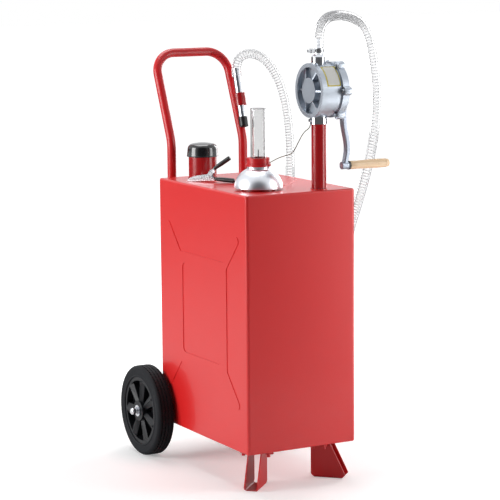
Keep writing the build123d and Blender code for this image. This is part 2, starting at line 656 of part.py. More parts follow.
def wheel_centre(side):
    """A moulded centre: rim, closed web, tapered spokes on both faces, and a hub with its bush's bore."""
    half = WHEEL_WIDTH / 2
    rim_half = half - RIM_RECESS
    wheel = pipe(TYRE_BEAD_RADIUS, RIM_INNER_RADIUS, (-rim_half, 0, 0), (rim_half, 0, 0))
    wheel += rod(RIM_INNER_RADIUS + OVERRUN, (-WEB_THICKNESS / 2, 0, 0), (WEB_THICKNESS / 2, 0, 0))
    spoke_half = half - SPOKE_RECESS
    hub_half, rim_width = SPOKE_HUB_WIDTH / 2, SPOKE_RIM_WIDTH / 2
    reach = RIM_INNER_RADIUS + OVERRUN
    spoke = Polygon((0, -hub_half), (reach, -rim_width), (reach, rim_width), (0, hub_half), align=None)
    bar = extrude(Plane.YZ * spoke, spoke_half, both=True)
    for number in range(SPOKE_COUNT):
        wheel += Rot(180 - SPOKE_PHASE + number * 360 / SPOKE_COUNT, 0, 0) * bar
    wheel += rod(HUB_RADIUS, (-half - HUB_STAND_OUT, 0, 0), (half + HUB_STAND_OUT, 0, 0))
    through = half + HUB_STAND_OUT + OVERRUN
    wheel -= rod(AXLE_RADIUS + BUSH_WALL, (-through, 0, 0), (through, 0, 0))
    return Pos(side * WHEEL_MIDDLE_X, AXLE_Y, AXLE_Z) * wheel


def wheel_bush(side):
    """The bush in a wheel's hub, which runs on the axle."""
    inner, outer = (side * HUB_INNER_X, AXLE_Y, AXLE_Z), (side * HUB_OUTER_X, AXLE_Y, AXLE_Z)
    return pipe(AXLE_RADIUS + BUSH_WALL, AXLE_RADIUS + SHAFT_CLEARANCE, inner, outer)


def axle_bracket(side):
    """A welded plate with a boss that carries the axle, up to the inner face of the wheel's hub."""
    outer_x = TANK_WIDTH / 2 - BRACKET_INSET
    inner_x = outer_x - BRACKET_THICKNESS
    cheek = Polygon((BACK_Y, BRACKET_LOW_EDGE), (AXLE_Y, AXLE_Z - BRACKET_RADIUS),
                    (AXLE_Y, AXLE_Z + BRACKET_RADIUS), (BACK_Y, BRACKET_HEIGHT), align=None)
    cheek += Pos(AXLE_Y, AXLE_Z) * Circle(BRACKET_RADIUS)
    bracket = Pos(inner_x, 0, 0) * extrude(Plane.YZ * cheek, BRACKET_THICKNESS)
    foot_low = inner_x + BRACKET_THICKNESS / 2 - BRACKET_FOOT_WIDTH / 2
    bracket += block((foot_low, BACK_Y, BRACKET_LOW_EDGE),
                     (foot_low + BRACKET_FOOT_WIDTH, BACK_Y + BRACKET_FOOT_THICKNESS, BRACKET_HEIGHT))
    boss_end = (HUB_INNER_X - FACE_GAP, AXLE_Y, AXLE_Z)
    bracket += rod(BRACKET_BOSS_RADIUS, (inner_x, AXLE_Y, AXLE_Z), boss_end)
    bracket -= rod(AXLE_RADIUS, (inner_x - OVERRUN, AXLE_Y, AXLE_Z), (HUB_INNER_X, AXLE_Y, AXLE_Z))
    return bracket if side > 0 else mirrored(bracket)


def axle():
    """A steel bar through both brackets and both wheels."""
    end = HUB_OUTER_X + AXLE_CAP_OFFSET + AXLE_CAP_LENGTH / 2
    return rod(AXLE_RADIUS, (-end, AXLE_Y, AXLE_Z), (end, AXLE_Y, AXLE_Z))


def on_axle(radius, offset, length):
    """A ring on the axle outside each wheel, as a pair of solids."""
    start = HUB_OUTER_X + FACE_GAP + offset
    ring = pipe(radius, AXLE_RADIUS, (start, AXLE_Y, AXLE_Z), (start + length, AXLE_Y, AXLE_Z))
    return [ring, mirrored(ring)]


def axle_retainers():
    """A flat washer against each hub, a smaller clip outside it and a domed cap pushed on the axle's end."""
    washers = on_axle(AXLE_WASHER_RADIUS, 0, AXLE_WASHER_THICKNESS)
    clips = on_axle(AXLE_CLIP_RADIUS, AXLE_CLIP_OFFSET, AXLE_CLIP_THICKNESS)
    start = HUB_OUTER_X + AXLE_CAP_OFFSET
    cap = rod(AXLE_CAP_RADIUS, (start, AXLE_Y, AXLE_Z), (start + AXLE_CAP_LENGTH, AXLE_Y, AXLE_Z))
    cap = fillet(cap.edges().sort_by(Axis.X)[-1], AXLE_CAP_LENGTH / 2)
    cap -= rod(AXLE_RADIUS, (start - OVERRUN, AXLE_Y, AXLE_Z), (start + AXLE_CAP_LENGTH / 2, AXLE_Y, AXLE_Z))
    return Compound([*washers, *clips, cap, mirrored(cap)])


# Handle and nozzle holder

def handle_path():
    """The centre line of the handle, from the foot of one leg round to the other."""
    span, bend = HANDLE_HALF_SPAN, (HANDLE_BEND_RADIUS, HANDLE_CORNER_RADIUS)
    points = [(-span, HANDLE_Y, HANDLE_FOOT_Z), (-span, HANDLE_Y, HANDLE_BEND_Z), (-span, HANDLE_TOP_Y, HANDLE_TOP_Z),
              (span, HANDLE_TOP_Y, HANDLE_TOP_Z), (span, HANDLE_Y, HANDLE_BEND_Z), (span, HANDLE_Y, HANDLE_FOOT_Z)]
    return FilletPolyline(*points, radius=[bend[0], bend[1], bend[1], bend[0]])


def handle():
    """One bent steel tube, with the holes for its bolts."""
    path = handle_path()
    start = Plane(origin=path @ 0, z_dir=path % 0)
    tube = sweep(start * Circle(HANDLE_RADIUS), path=path)
    tube -= sweep(start * Circle(HANDLE_RADIUS - HANDLE_WALL), path=path)
    for x, z in handle_bolt_places():
        tube -= rod(HANDLE_BOLT_RADIUS, (x, BACK_Y, z), (x, HANDLE_Y + 2 * HANDLE_RADIUS, z))
    return tube


def handle_bolt_places():
    """Where the four bolts cross the handle's legs, as (x, z)."""
    return [(side * HANDLE_HALF_SPAN, TANK_HEIGHT - drop) for side in (-1, 1) for drop in SPACER_DROPS]


def handle_spacers():
    """Four blocks, hollowed to seat the tube, between the handle and the tank's back."""
    spacers = []
    for x, z in handle_bolt_places():
        half_width, half_height = SPACER_WIDTH / 2, SPACER_HEIGHT / 2
        spacer = block((x - half_width, BACK_Y, z - half_height), (x + half_width, HANDLE_Y, z + half_height))
        spacer -= rod(HANDLE_RADIUS, (x, HANDLE_Y, z - SPACER_HEIGHT), (x, HANDLE_Y, z + SPACER_HEIGHT))
        spacer -= rod(HANDLE_BOLT_RADIUS, (x, BACK_Y - OVERRUN, z), (x, HANDLE_Y, z))
        spacers.append(spacer)
    return Compound(spacers)


def handle_bolts():
    """Four bolts through the legs, the spacers and the tank's back, with a sealed nut inside the tank."""
    bolts = []
    for x, z in handle_bolt_places():
        seat, end, wall = HANDLE_Y + HANDLE_RADIUS, BACK_Y - HANDLE_BOLT_REACH, BACK_Y - TANK_SHEET
        bolt = rod(HANDLE_BOLT_RADIUS, (x, end, z), (x, seat, z))
        bolt += hexagon(HANDLE_BOLT_HEAD_WIDTH, (x, seat, z), (x, seat + HANDLE_BOLT_HEAD_HEIGHT, z))
        bolts.append(bolt + hexagon(HANDLE_BOLT_HEAD_WIDTH, (x, wall - HANDLE_BOLT_HEAD_HEIGHT, z), (x, wall, z)))
    return Compound(bolts)


def leg_line():
    """Two points on the slanted part of the right leg's centre line, past both ends of the holder."""
    low = Vector(HANDLE_HALF_SPAN, HANDLE_Y, HANDLE_BEND_Z)
    high = Vector(HANDLE_HALF_SPAN, HANDLE_TOP_Y, HANDLE_TOP_Z)
    return low, high


def nozzle_holder():
    """A ring that the nozzle stands in, on a tab welded to the handle's leg."""
    half = HOLDER_AXIS * (HOLDER_LENGTH / 2)
    ring = rod(HOLDER_RADIUS, HOLDER_CENTRE - half, HOLDER_CENTRE + half)
    low, high = leg_line()
    along = (high - low).normalized()
    nearest = low + along * (HOLDER_CENTRE - low).dot(along)
    reach = nearest - HOLDER_CENTRE
    tab_frame = Plane(origin=HOLDER_CENTRE, x_dir=reach, z_dir=along)
    ends = (Align.MIN, Align.CENTER, Align.CENTER)
    ring += tab_frame * Box(reach.length, HOLDER_TAB_THICKNESS, HOLDER_TAB_HEIGHT, align=ends)
    ring -= rod(HANDLE_RADIUS, low, high)
    return ring - rod(NOZZLE_RADIUS + HOLDER_FIT, HOLDER_CENTRE - half * 2, HOLDER_CENTRE + half * 2)


# Filler

def filler_neck():
    """A tube welded through the top, with a fine groove below the cap."""
    bottom = (FILLER_X, FILLER_Y, TANK_HEIGHT - TANK_SHEET - NECK_DROP)
    neck = pipe(NECK_RADIUS, NECK_RADIUS - NECK_WALL, bottom, (FILLER_X, FILLER_Y, NECK_TOP_Z))
    groove_z = TANK_HEIGHT + NECK_GROOVE_RISE
    inner = NECK_RADIUS - NECK_GROOVE
    groove = pipe(NECK_RADIUS + OVERRUN, inner, (FILLER_X, FILLER_Y, groove_z),
                  (FILLER_X, FILLER_Y, groove_z + NECK_GROOVE))
    return neck - groove


def cap_gasket():
    """The sealing ring between the neck's mouth and the cap."""
    base = (FILLER_X, FILLER_Y, NECK_TOP_Z)
    top = (FILLER_X, FILLER_Y, NECK_TOP_Z + CAP_GASKET_THICKNESS)
    return pipe(NECK_RADIUS, NECK_RADIUS - CAP_GASKET_WIDTH, base, top)


def filler_cap():
    """A domed cap whose skirt flares to a rim and reaches down over the neck."""
    inside = NECK_RADIUS + CAP_FIT
    seat = NECK_TOP_Z + CAP_GASKET_THICKNESS - CAP_RIM_Z
    shoulder = CAP_HEIGHT - CAP_CROWN_RISE
    rounded = arc_points((CAP_RADIUS - CAP_DOME_ROUND, shoulder - CAP_DOME_ROUND), CAP_DOME_ROUND, 0, 75, 6)
    outline = [(0, seat), (inside, seat), (inside, 0), (CAP_RIM_RADIUS, 0), (CAP_RIM_RADIUS, CAP_RIM_HEIGHT / 3),
               (CAP_RADIUS, CAP_RIM_HEIGHT)] + rounded + [(0, CAP_HEIGHT)]
    return turned(outline, (FILLER_X, FILLER_Y, CAP_RIM_Z))


# Level gauge

def gauge_base():
    """The sealing disc that covers the gauge's hole, bored for the needle."""
    base = rod(GAUGE_BASE_RADIUS, (GAUGE_X, GAUGE_Y, TANK_HEIGHT), (GAUGE_X, GAUGE_Y, DOME_BASE_Z))
    return base - rod(GAUGE_BASE_BORE, (GAUGE_X, GAUGE_Y, TANK_HEIGHT - OVERRUN),
                      (GAUGE_X, GAUGE_Y, DOME_BASE_Z + OVERRUN))


def gauge_dome():
    """A bright spun dome with a flat top, bored for the needle, whose turned-in rim lies on the base."""
    inner_radius, inner_height = DOME_RADIUS - DOME_WALL, DOME_HEIGHT - DOME_WALL
    inner_top = sqrt(inner_radius ** 2 - inner_height ** 2)
    outer = arc_points((0, 0), DOME_RADIUS, 0, degrees(atan2(DOME_HEIGHT, DOME_TOP_RADIUS)), DOME_STEPS)
    rim_angle = degrees(asin(DOME_WALL / inner_radius))
    inner = arc_points((0, 0), inner_radius, degrees(atan2(inner_height, inner_top)), rim_angle, DOME_STEPS)
    rim_bore = GAUGE_BASE_RADIUS - DOME_RIM_LAP
    outline = outer + [(GAUGE_BASE_BORE, DOME_HEIGHT), (GAUGE_BASE_BORE, inner_height)] + inner
    outline += [(rim_bore, DOME_WALL), (rim_bore, 0)]
    return turned(outline, (GAUGE_X, GAUGE_Y, DOME_BASE_Z))


def gauge_collar():
    """A two-step screwed collar that clamps the clear tube and guides the needle."""
    guide = NEEDLE_RADIUS + FACE_GAP
    outline = [(guide, 0), (COLLAR_RADIUS, 0), (COLLAR_RADIUS, COLLAR_RING_HEIGHT),
               (COLLAR_UPPER_RADIUS, COLLAR_RING_HEIGHT), (COLLAR_UPPER_RADIUS, COLLAR_HEIGHT),
               (GAUGE_TUBE_RADIUS, COLLAR_HEIGHT), (GAUGE_TUBE_RADIUS, COLLAR_RING_HEIGHT),
               (guide, COLLAR_RING_HEIGHT)]
    return turned(outline, (GAUGE_X, GAUGE_Y, COLLAR_BASE_Z))


def gauge_tube():
    """The clear tube, closed at its top."""
    top_z = GAUGE_TUBE_Z + GAUGE_TUBE_LENGTH
    tube = rod(GAUGE_TUBE_RADIUS, (GAUGE_X, GAUGE_Y, GAUGE_TUBE_Z), (GAUGE_X, GAUGE_Y, top_z))
    return tube - rod(GAUGE_TUBE_RADIUS - GAUGE_TUBE_WALL, (GAUGE_X, GAUGE_Y, GAUGE_TUBE_Z - OVERRUN),
                      (GAUGE_X, GAUGE_Y, top_z - GAUGE_TUBE_WALL))


def gauge_stem():
    """A flat bar that hangs from the gauge's base inside the tank, with the float arm's pin at its foot."""
    near_x = GAUGE_X + FLOAT_ARM_THICKNESS / 2 + FACE_GAP
    low_z = STEM_PIVOT_Z - STEM_WIDTH / 2
    bar = block((near_x, STEM_Y - STEM_WIDTH / 2, low_z),
                (near_x + STEM_THICKNESS, STEM_Y + STEM_WIDTH / 2, TANK_HEIGHT))
    pin_end = (GAUGE_X - FLOAT_ARM_THICKNESS / 2 - STEM_THICKNESS, STEM_Y, STEM_PIVOT_Z)
    return bar + rod(FLOAT_PIN_RADIUS, (near_x, STEM_Y, STEM_PIVOT_Z), pin_end)


def arm_frame():
    """The float arm's frame at rest: its origin on the pin, its X along the arm, down towards the float."""
    down = radians(FLOAT_ARM_ANGLE)
    return Plane(origin=(GAUGE_X, STEM_Y, STEM_PIVOT_Z), x_dir=(0, cos(down), -sin(down)), z_dir=(1, 0, 0))


def float_arm():
    """The flat arm that swings on the stem's pin and lifts the needle."""
    length = FLOAT_ARM_LENGTH - FLOAT_RADIUS
    bar = Pos(length / 2, 0) * SlotCenterToCenter(length, FLOAT_ARM_WIDTH)
    bar -= Circle(FLOAT_PIN_RADIUS + SHAFT_CLEARANCE)
    arm = arm_frame() * extrude(bar, FLOAT_ARM_THICKNESS / 2, both=True)
    return arm - gauge_float()


def gauge_float():
    """The hollow ball at the far end of the arm, drawn as a plain ball."""
    return arm_frame() * Pos(FLOAT_ARM_LENGTH, 0, 0) * Sphere(FLOAT_RADIUS)


def gauge_needle():
    """The needle, a straight wire from just above the float arm up into the clear tube."""
    down = radians(FLOAT_ARM_ANGLE)
    arm_top = STEM_PIVOT_Z - STEM_OFFSET * tan(down) + FLOAT_ARM_WIDTH / 2 / cos(down)
    return rod(NEEDLE_RADIUS, (GAUGE_X, GAUGE_Y, arm_top + NEEDLE_GAP), (GAUGE_X, GAUGE_Y, NEEDLE_TOP_Z))


# Pump riser and suction pipe

def riser_pipe():
    """The painted tube that carries the pump, welded through the tank's top."""
    return pipe(RISER_RADIUS, RISER_RADIUS - RISER_WALL, (PORT_X, PORT_Y, TANK_HEIGHT - RISER_DROP),
                (PORT_X, PORT_Y, RISER_TOP_Z))


def suction_pipe():
    """The pipe from near the tank's bottom up into the pump's inlet."""
    return pipe(SUCTION_RADIUS, SUCTION_RADIUS - SUCTION_WALL, (PORT_X, PORT_Y, SUCTION_FOOT_GAP),
                (PORT_X, PORT_Y, SLEEVE_TOP_Z + SUCTION_INSERT))


def suction_strainer():
    """A slotted cup on the foot of the suction pipe."""
    top_z = SUCTION_FOOT_GAP + STRAINER_LAP
    cup = rod(STRAINER_RADIUS, (PORT_X, PORT_Y, STRAINER_GAP), (PORT_X, PORT_Y, top_z))
    cup -= rod(SUCTION_RADIUS, (PORT_X, PORT_Y, STRAINER_GAP + STRAINER_END), (PORT_X, PORT_Y, top_z + OVERRUN))
    slot_low, slot_high = STRAINER_GAP + STRAINER_END, SUCTION_FOOT_GAP
    slot = block((0, -STRAINER_SLOT_WIDTH / 2, slot_low + OVERRUN),
                 (STRAINER_RADIUS + OVERRUN, STRAINER_SLOT_WIDTH / 2, slot_high - OVERRUN))
    for number in range(STRAINER_SLOT_COUNT):
        cup -= Pos(PORT_X, PORT_Y, 0) * Rot(0, 0, number * 360 / STRAINER_SLOT_COUNT) * slot
    return cup


def inlet_sleeve():
    """The plated sleeve between the riser and the pump, with a spigot inside the riser."""
    sleeve = rod(SLEEVE_RADIUS, (PORT_X, PORT_Y, RISER_TOP_Z), (PORT_X, PORT_Y, SLEEVE_TOP_Z))
    sleeve += rod(RISER_RADIUS - RISER_WALL, (PORT_X, PORT_Y, RISER_TOP_Z - SLEEVE_SPIGOT),
                  (PORT_X, PORT_Y, RISER_TOP_Z))
    return sleeve - rod(SUCTION_RADIUS, (PORT_X, PORT_Y, RISER_TOP_Z - SLEEVE_SPIGOT - OVERRUN),
                        (PORT_X, PORT_Y, SLEEVE_TOP_Z + OVERRUN))


# Pump

def on_pump_axis(x):
    """The point of the pump's axis at a place along X."""
    return Vector(x, PORT_Y, PUMP_Z)


def ear_plate(start, thickness):
    """A round plate with one ear for each bolt, blended into its rim."""
    outline = Circle(FLANGE_RADIUS)
    for y, z in bolt_places():
        outline += Pos(y, z) * Circle(EAR_RADIUS)
    corners = [corner for corner in outline.vertices() if corner.center().length < FLANGE_RADIUS + FACE_GAP]
    outline = fillet(corners, EAR_BLEND)
    return Plane(origin=on_pump_axis(start), x_dir=(0, 1, 0), z_dir=(1, 0, 0)) * extrude(outline, thickness)


def bolt_places():
    """The bolts' places round the pump, as offsets (y, z) from its axis."""
    angles = [radians(number * 360 / EAR_COUNT) for number in range(EAR_COUNT)]
    return [(-BOLT_CIRCLE * cos(angle), BOLT_CIRCLE * sin(angle)) for angle in angles]


def bolt_holes(start, end):
    """The bars that cut the bolt holes between two places along X."""
    return [rod(COVER_BOLT_RADIUS, on_pump_axis(start) + Vector(0, y, z), on_pump_axis(end) + Vector(0, y, z))
            for y, z in bolt_places()]


def pump_body():
    """The cast drum: webbed outer face, offset pump chamber, inlet and outlet bosses, eared flange."""
    rim_end = DRUM_FRONT_X + DRUM_RIM_LENGTH
    body = rod(DRUM_RADIUS, on_pump_axis(DRUM_FRONT_X), on_pump_axis(COVER_X))
    body += rod(DRUM_RIM_RADIUS, on_pump_axis(DRUM_FRONT_X), on_pump_axis(rim_end))
    body += ear_plate(FLANGE_X, FLANGE_THICKNESS)
    body += rod(INLET_BOSS_RADIUS, (PORT_X, PORT_Y, SLEEVE_TOP_Z), (PORT_X, PORT_Y, PUMP_Z))
    body += rod(OUTLET_BOSS_RADIUS, (PORT_X, PORT_Y, PUMP_Z), (PORT_X, PORT_Y, OUTLET_BOSS_Z))
    body -= rod(SLEEVE_RADIUS + FACE_GAP, (PORT_X, PORT_Y, RISER_TOP_Z), (PORT_X, PORT_Y, SLEEVE_TOP_Z))
    body -= rod(FITTING_RADIUS + FACE_GAP, (PORT_X, PORT_Y, OUTLET_BOSS_Z), (PORT_X, PORT_Y, BARB_Z))
    body -= pipe(DRUM_RIM_RADIUS - FACE_RIM_WIDTH, FACE_BOSS_RADIUS,
                 on_pump_axis(DRUM_FRONT_X - OVERRUN), on_pump_axis(RECESS_END_X))
    body += rod(FACE_BOSS_RADIUS, on_pump_axis(DRUM_FRONT_X - FACE_BOSS_STAND_OUT), on_pump_axis(RECESS_END_X))
    body += face_ribs()
    chamber = Vector(0, 0, CHAMBER_RISE)
    body -= rod(CHAMBER_RADIUS, on_pump_axis(CHAMBER_FRONT_X) + chamber, on_pump_axis(COVER_X + OVERRUN) + chamber)
    seat = CHAMBER_FRONT_X - SHAFT_SEAT
    body -= rod(SHAFT_RADIUS + SHAFT_CLEARANCE, on_pump_axis(seat), on_pump_axis(COVER_X))
    body -= rod(SUCTION_RADIUS, (PORT_X, PORT_Y, SLEEVE_TOP_Z - OVERRUN),
                (PORT_X, PORT_Y, SLEEVE_TOP_Z + SUCTION_INSERT))
    body -= port_bore(INLET_BORE, SLEEVE_TOP_Z, PUMP_Z)
    body -= port_bore(OUTLET_BORE, PUMP_Z, OUTLET_BOSS_Z + OVERRUN)
    for hole in bolt_holes(FLANGE_X - OVERRUN, COVER_X + OVERRUN):
        body -= hole
    return body


def port_bore(radius, low_z, high_z):
    """The bar that cuts a port up to the chamber, kept clear of the shaft's seat in the drum's end."""
    bar = rod(radius, (PORT_X, PORT_Y, low_z), (PORT_X, PORT_Y, high_z))
    keep = CHAMBER_RADIUS - CHAMBER_RISE - OVERRUN
    return bar - rod(keep, on_pump_axis(DRUM_FRONT_X), on_pump_axis(COVER_X))


def face_ribs():
    """The ribs of the drum's outer face, which slope from the boss down to the rim."""
    outer = DRUM_RIM_RADIUS - FACE_RIM_WIDTH / 2
    rib = Polygon((DRUM_FRONT_X, 0), (DRUM_FRONT_X, FACE_BOSS_RADIUS), (DRUM_FRONT_X + FACE_RIB_RIM_DROP, outer),
                  (RECESS_END_X, outer), (RECESS_END_X, 0), align=None)
    bar = extrude(Plane.XY * rib, FACE_RIB_THICKNESS / 2, both=True)
    ribs = Part()
    for number in range(FACE_RIB_COUNT):
        ribs += Pos(0, PORT_Y, PUMP_Z) * Rot(180 + number * 360 / FACE_RIB_COUNT, 0, 0) * bar
    return ribs


def pump_cover():
    """The eared end plate on the crank's side, with the shaft's boss."""
    cover = ear_plate(COVER_X, COVER_THICKNESS)
    cover += rod(COVER_BOSS_RADIUS, on_pump_axis(COVER_OUTER_X), on_pump_axis(PACKING_X))
    cover -= rod(SHAFT_RADIUS + SHAFT_CLEARANCE, on_pump_axis(COVER_X - OVERRUN), on_pump_axis(PACKING_X + OVERRUN))
    for hole in bolt_holes(COVER_X - OVERRUN, COVER_OUTER_X + OVERRUN):
        cover -= hole
    return cover


def cover_bolts():
    """Six bolts through the ears, with their nuts on the crank's side."""
    bolts = []
    for y, z in bolt_places():
        offset = Vector(0, y, z)
        head_start = on_pump_axis(FLANGE_X - COVER_BOLT_HEAD_HEIGHT) + offset
        flange_start, cover_end = on_pump_axis(FLANGE_X) + offset, on_pump_axis(COVER_OUTER_X) + offset
        nut_end = on_pump_axis(COVER_OUTER_X + COVER_BOLT_HEAD_HEIGHT) + offset
        bolt = hexagon(COVER_BOLT_HEAD_WIDTH, head_start, flange_start)
        bolt += rod(COVER_BOLT_RADIUS, flange_start, cover_end)
        bolts.append(bolt + hexagon(COVER_BOLT_HEAD_WIDTH, cover_end, nut_end))
    return Compound(bolts)


def vane_slots(depth_gap):
    """The bars of the rotor's slots, or of the vanes themselves when the gap is zero."""
    start, end = CHAMBER_FRONT_X + FACE_GAP, COVER_X - FACE_GAP
    inner = ROTOR_RADIUS + VANE_STAND_OUT - VANE_DEPTH - depth_gap
    outer = ROTOR_RADIUS + VANE_STAND_OUT + depth_gap
    half = VANE_THICKNESS / 2
    bar = block((start - depth_gap, -half, inner), (end + depth_gap, half, outer))
    return [Pos(0, PORT_Y, PUMP_Z) * Rot(number * 360 / VANE_COUNT, 0, 0) * bar for number in range(VANE_COUNT)]


def pump_rotor():
    """The slotted rotor on the shaft."""
    start, end = on_pump_axis(CHAMBER_FRONT_X + FACE_GAP), on_pump_axis(COVER_X - FACE_GAP)
    rotor = pipe(ROTOR_RADIUS, SHAFT_RADIUS, start, end)
    for slot in vane_slots(OVERRUN):
        rotor -= slot
    return rotor


def pump_vanes():
    """The sliding vanes, drawn in as far as the narrow side of the chamber pushes them."""
    return Compound(vane_slots(0.0))


def pump_shaft():
    """The shaft from the drum's closed end out to the crank."""
    start = on_pump_axis(CHAMBER_FRONT_X - SHAFT_SEAT + FACE_GAP)
    return rod(SHAFT_RADIUS, start, on_pump_axis(CRANK_HUB_X + CRANK_HUB_LENGTH))


def packing_nut():
    """The hexagonal gland nut that squeezes the shaft's packing."""
    nut = hexagon(PACKING_NUT_WIDTH, on_pump_axis(PACKING_X), on_pump_axis(PACKING_X + PACKING_NUT_LENGTH))
    return nut - rod(SHAFT_RADIUS + SHAFT_CLEARANCE, on_pump_axis(PACKING_X - OVERRUN),
                     on_pump_axis(PACKING_X + PACKING_NUT_LENGTH + OVERRUN))


# Crank and grip

def crank_arm():
    """The cast arm: a hub on the shaft, a swept bar and a boss for the grip's spindle."""
    sections = []
    for share, shift, thickness, width in zip(ARM_DROP_SHARES, ARM_SHIFTS, ARM_THICKNESSES, ARM_WIDTHS):
        place = Pos(ARM_X + shift, PORT_Y, PUMP_Z - CRANK_LENGTH * share)
        sections.append(place * RectangleRounded(thickness, width, ARM_ROUND))
    arm = loft(sections)
    arm += rod(CRANK_HUB_RADIUS, on_pump_axis(CRANK_HUB_X), on_pump_axis(CRANK_HUB_X + CRANK_HUB_LENGTH))
    arm += rod(CRANK_BOSS_RADIUS, on_grip_axis(BOSS_INNER_X), on_grip_axis(BOSS_INNER_X + CRANK_BOSS_LENGTH))
    arm -= rod(SHAFT_RADIUS, on_pump_axis(CRANK_HUB_X - OVERRUN), on_pump_axis(CRANK_HUB_X + 2 * CRANK_HUB_LENGTH))
    arm -= rod(SPINDLE_RADIUS, on_grip_axis(BOSS_INNER_X - OVERRUN), on_grip_axis(GRIP_X))
    top_z = PUMP_Z + CRANK_HUB_RADIUS
    return arm - rod(CRANK_SCREW_RADIUS, (ARM_X, PORT_Y, PUMP_Z), (ARM_X, PORT_Y, top_z + OVERRUN))


def crank_screw():
    """The screw that locks the arm to the shaft."""
    seat = PUMP_Z + CRANK_HUB_RADIUS
    screw = rod(CRANK_SCREW_RADIUS, (ARM_X, PORT_Y, PUMP_Z + SHAFT_RADIUS), (ARM_X, PORT_Y, seat))
    return screw + rod(CRANK_SCREW_HEAD, (ARM_X, PORT_Y, seat), (ARM_X, PORT_Y, seat + CRANK_SCREW_STAND_OUT))


def on_grip_axis(x):
    """The point of the grip's axis at a place along X, with the crank hanging down."""
    return Vector(x, PORT_Y, CRANK_END_Z)


def grip():
    """The turned wooden grip, bored for the spindle, with a recess for the spindle's head."""
    outline = [(0, 0)] + [(radius, GRIP_LENGTH * share) for radius, share in zip(GRIP_RADII, GRIP_LENGTH_SHARES)]
    outline.append((0, GRIP_LENGTH))
    body = turned(outline, on_grip_axis(GRIP_X), z_dir=(1, 0, 0))
    body -= rod(SPINDLE_RADIUS + SHAFT_CLEARANCE, on_grip_axis(GRIP_X - OVERRUN), on_grip_axis(GRIP_END_X))
    recess_x = GRIP_END_X - SPINDLE_HEAD_DEPTH
    return body - rod(SPINDLE_HEAD_RADIUS + FACE_GAP, on_grip_axis(recess_x), on_grip_axis(GRIP_END_X + OVERRUN))


def grip_ferrule():
    """The dark ferrule at the inner end of the grip."""
    return pipe(FERRULE_RADIUS, SPINDLE_RADIUS + SHAFT_CLEARANCE, on_grip_axis(FERRULE_X), on_grip_axis(GRIP_X))


def grip_spindle():
    """The spindle, screwed into the arm's boss, with its head in the grip's outer end."""
    head_x = GRIP_END_X - SPINDLE_HEAD_DEPTH + FACE_GAP
    spindle = rod(SPINDLE_RADIUS, on_grip_axis(BOSS_INNER_X), on_grip_axis(head_x))
    return spindle + rod(SPINDLE_HEAD_RADIUS, on_grip_axis(head_x), on_grip_axis(head_x + SPINDLE_HEAD_LENGTH))


# Outlet, hose and nozzle

def outlet_fitting():
    """The plated fitting: a round body, a cone and a barb inside the hose, over a spigot in the pump."""
    cone_z = FITTING_HEIGHT
    barb_top = cone_z + FITTING_CONE_HEIGHT + FITTING_BARB_LENGTH
    outline = [(FITTING_BORE, -FITTING_SPIGOT), (OUTLET_BORE, -FITTING_SPIGOT), (OUTLET_BORE, 0),
               (FITTING_RADIUS, 0), (FITTING_RADIUS, cone_z), (FITTING_TOP_RADIUS, cone_z + FITTING_CONE_HEIGHT),
               (HOSE_BORE, cone_z + FITTING_CONE_HEIGHT), (HOSE_BORE, barb_top), (FITTING_BORE, barb_top)]
    return turned(outline, (PORT_X, PORT_Y, OUTLET_BOSS_Z))


def hose_clamp():
    """The band round the hose's end, its housing, and its screw, which points away from the crank."""
    low_z = BARB_Z + HOSE_CLAMP_RISE
    high_z = low_z + HOSE_CLAMP_WIDTH
    outer = HOSE_RADIUS + HOSE_CLAMP_WALL
    housing_x = PORT_X - HOSE_RADIUS - HOSE_CLAMP_HOUSING
    half = HOSE_CLAMP_WIDTH / 2
    clamp = rod(outer, (PORT_X, PORT_Y, low_z), (PORT_X, PORT_Y, high_z))
    clamp += block((housing_x, PORT_Y - half, low_z), (PORT_X - HOSE_RADIUS, PORT_Y + half, high_z))
    clamp += rod(HOSE_CLAMP_SCREW_RADIUS, (housing_x - HOSE_CLAMP_SCREW_LENGTH, PORT_Y, low_z + half),
                 (housing_x, PORT_Y, low_z + half))
    return clamp - rod(HOSE_RADIUS, (PORT_X, PORT_Y, low_z - OVERRUN), (PORT_X, PORT_Y, high_z + OVERRUN))


def nozzle_tube():
    """The nozzle's bright tube and the barb at its top."""
    tube = rod(NOZZLE_RADIUS, NOZZLE_SHOULDER, NOZZLE_TOP)
    barb_end = NOZZLE_TOP + HOLDER_AXIS * NOZZLE_BARB_LENGTH
    tube += rod(HOSE_BORE, NOZZLE_TOP, barb_end)
    past = HOLDER_AXIS * OVERRUN
    return tube - rod(HOSE_BORE - NOZZLE_WALL, NOZZLE_SHOULDER - past, barb_end + past)


def nozzle_tip():
    """The soft tip on the nozzle's lower end."""
    end = NOZZLE_SHOULDER - HOLDER_AXIS * NOZZLE_TIP_LENGTH
    tip = rod(NOZZLE_TIP_RADIUS, end, NOZZLE_SHOULDER)
    tip = fillet(tip.edges().sort_by(Axis.Z)[0], NOZZLE_TIP_ROUND)
    return tip - rod(NOZZLE_TIP_BORE, end - HOLDER_AXIS * OVERRUN, NOZZLE_SHOULDER + HOLDER_AXIS * OVERRUN)


def hose_route():
    """The corners of the hose's route, from the pump's outlet to the nozzle's top."""
    start = Vector(PORT_X, PORT_Y, BARB_Z)
    return [start, start + Vector(0, 0, HOSE_START_RUN), *(Vector(*point) for point in HOSE_POINTS),
            NOZZLE_TOP + HOLDER_AXIS * HOSE_END_RUN, NOZZLE_TOP]


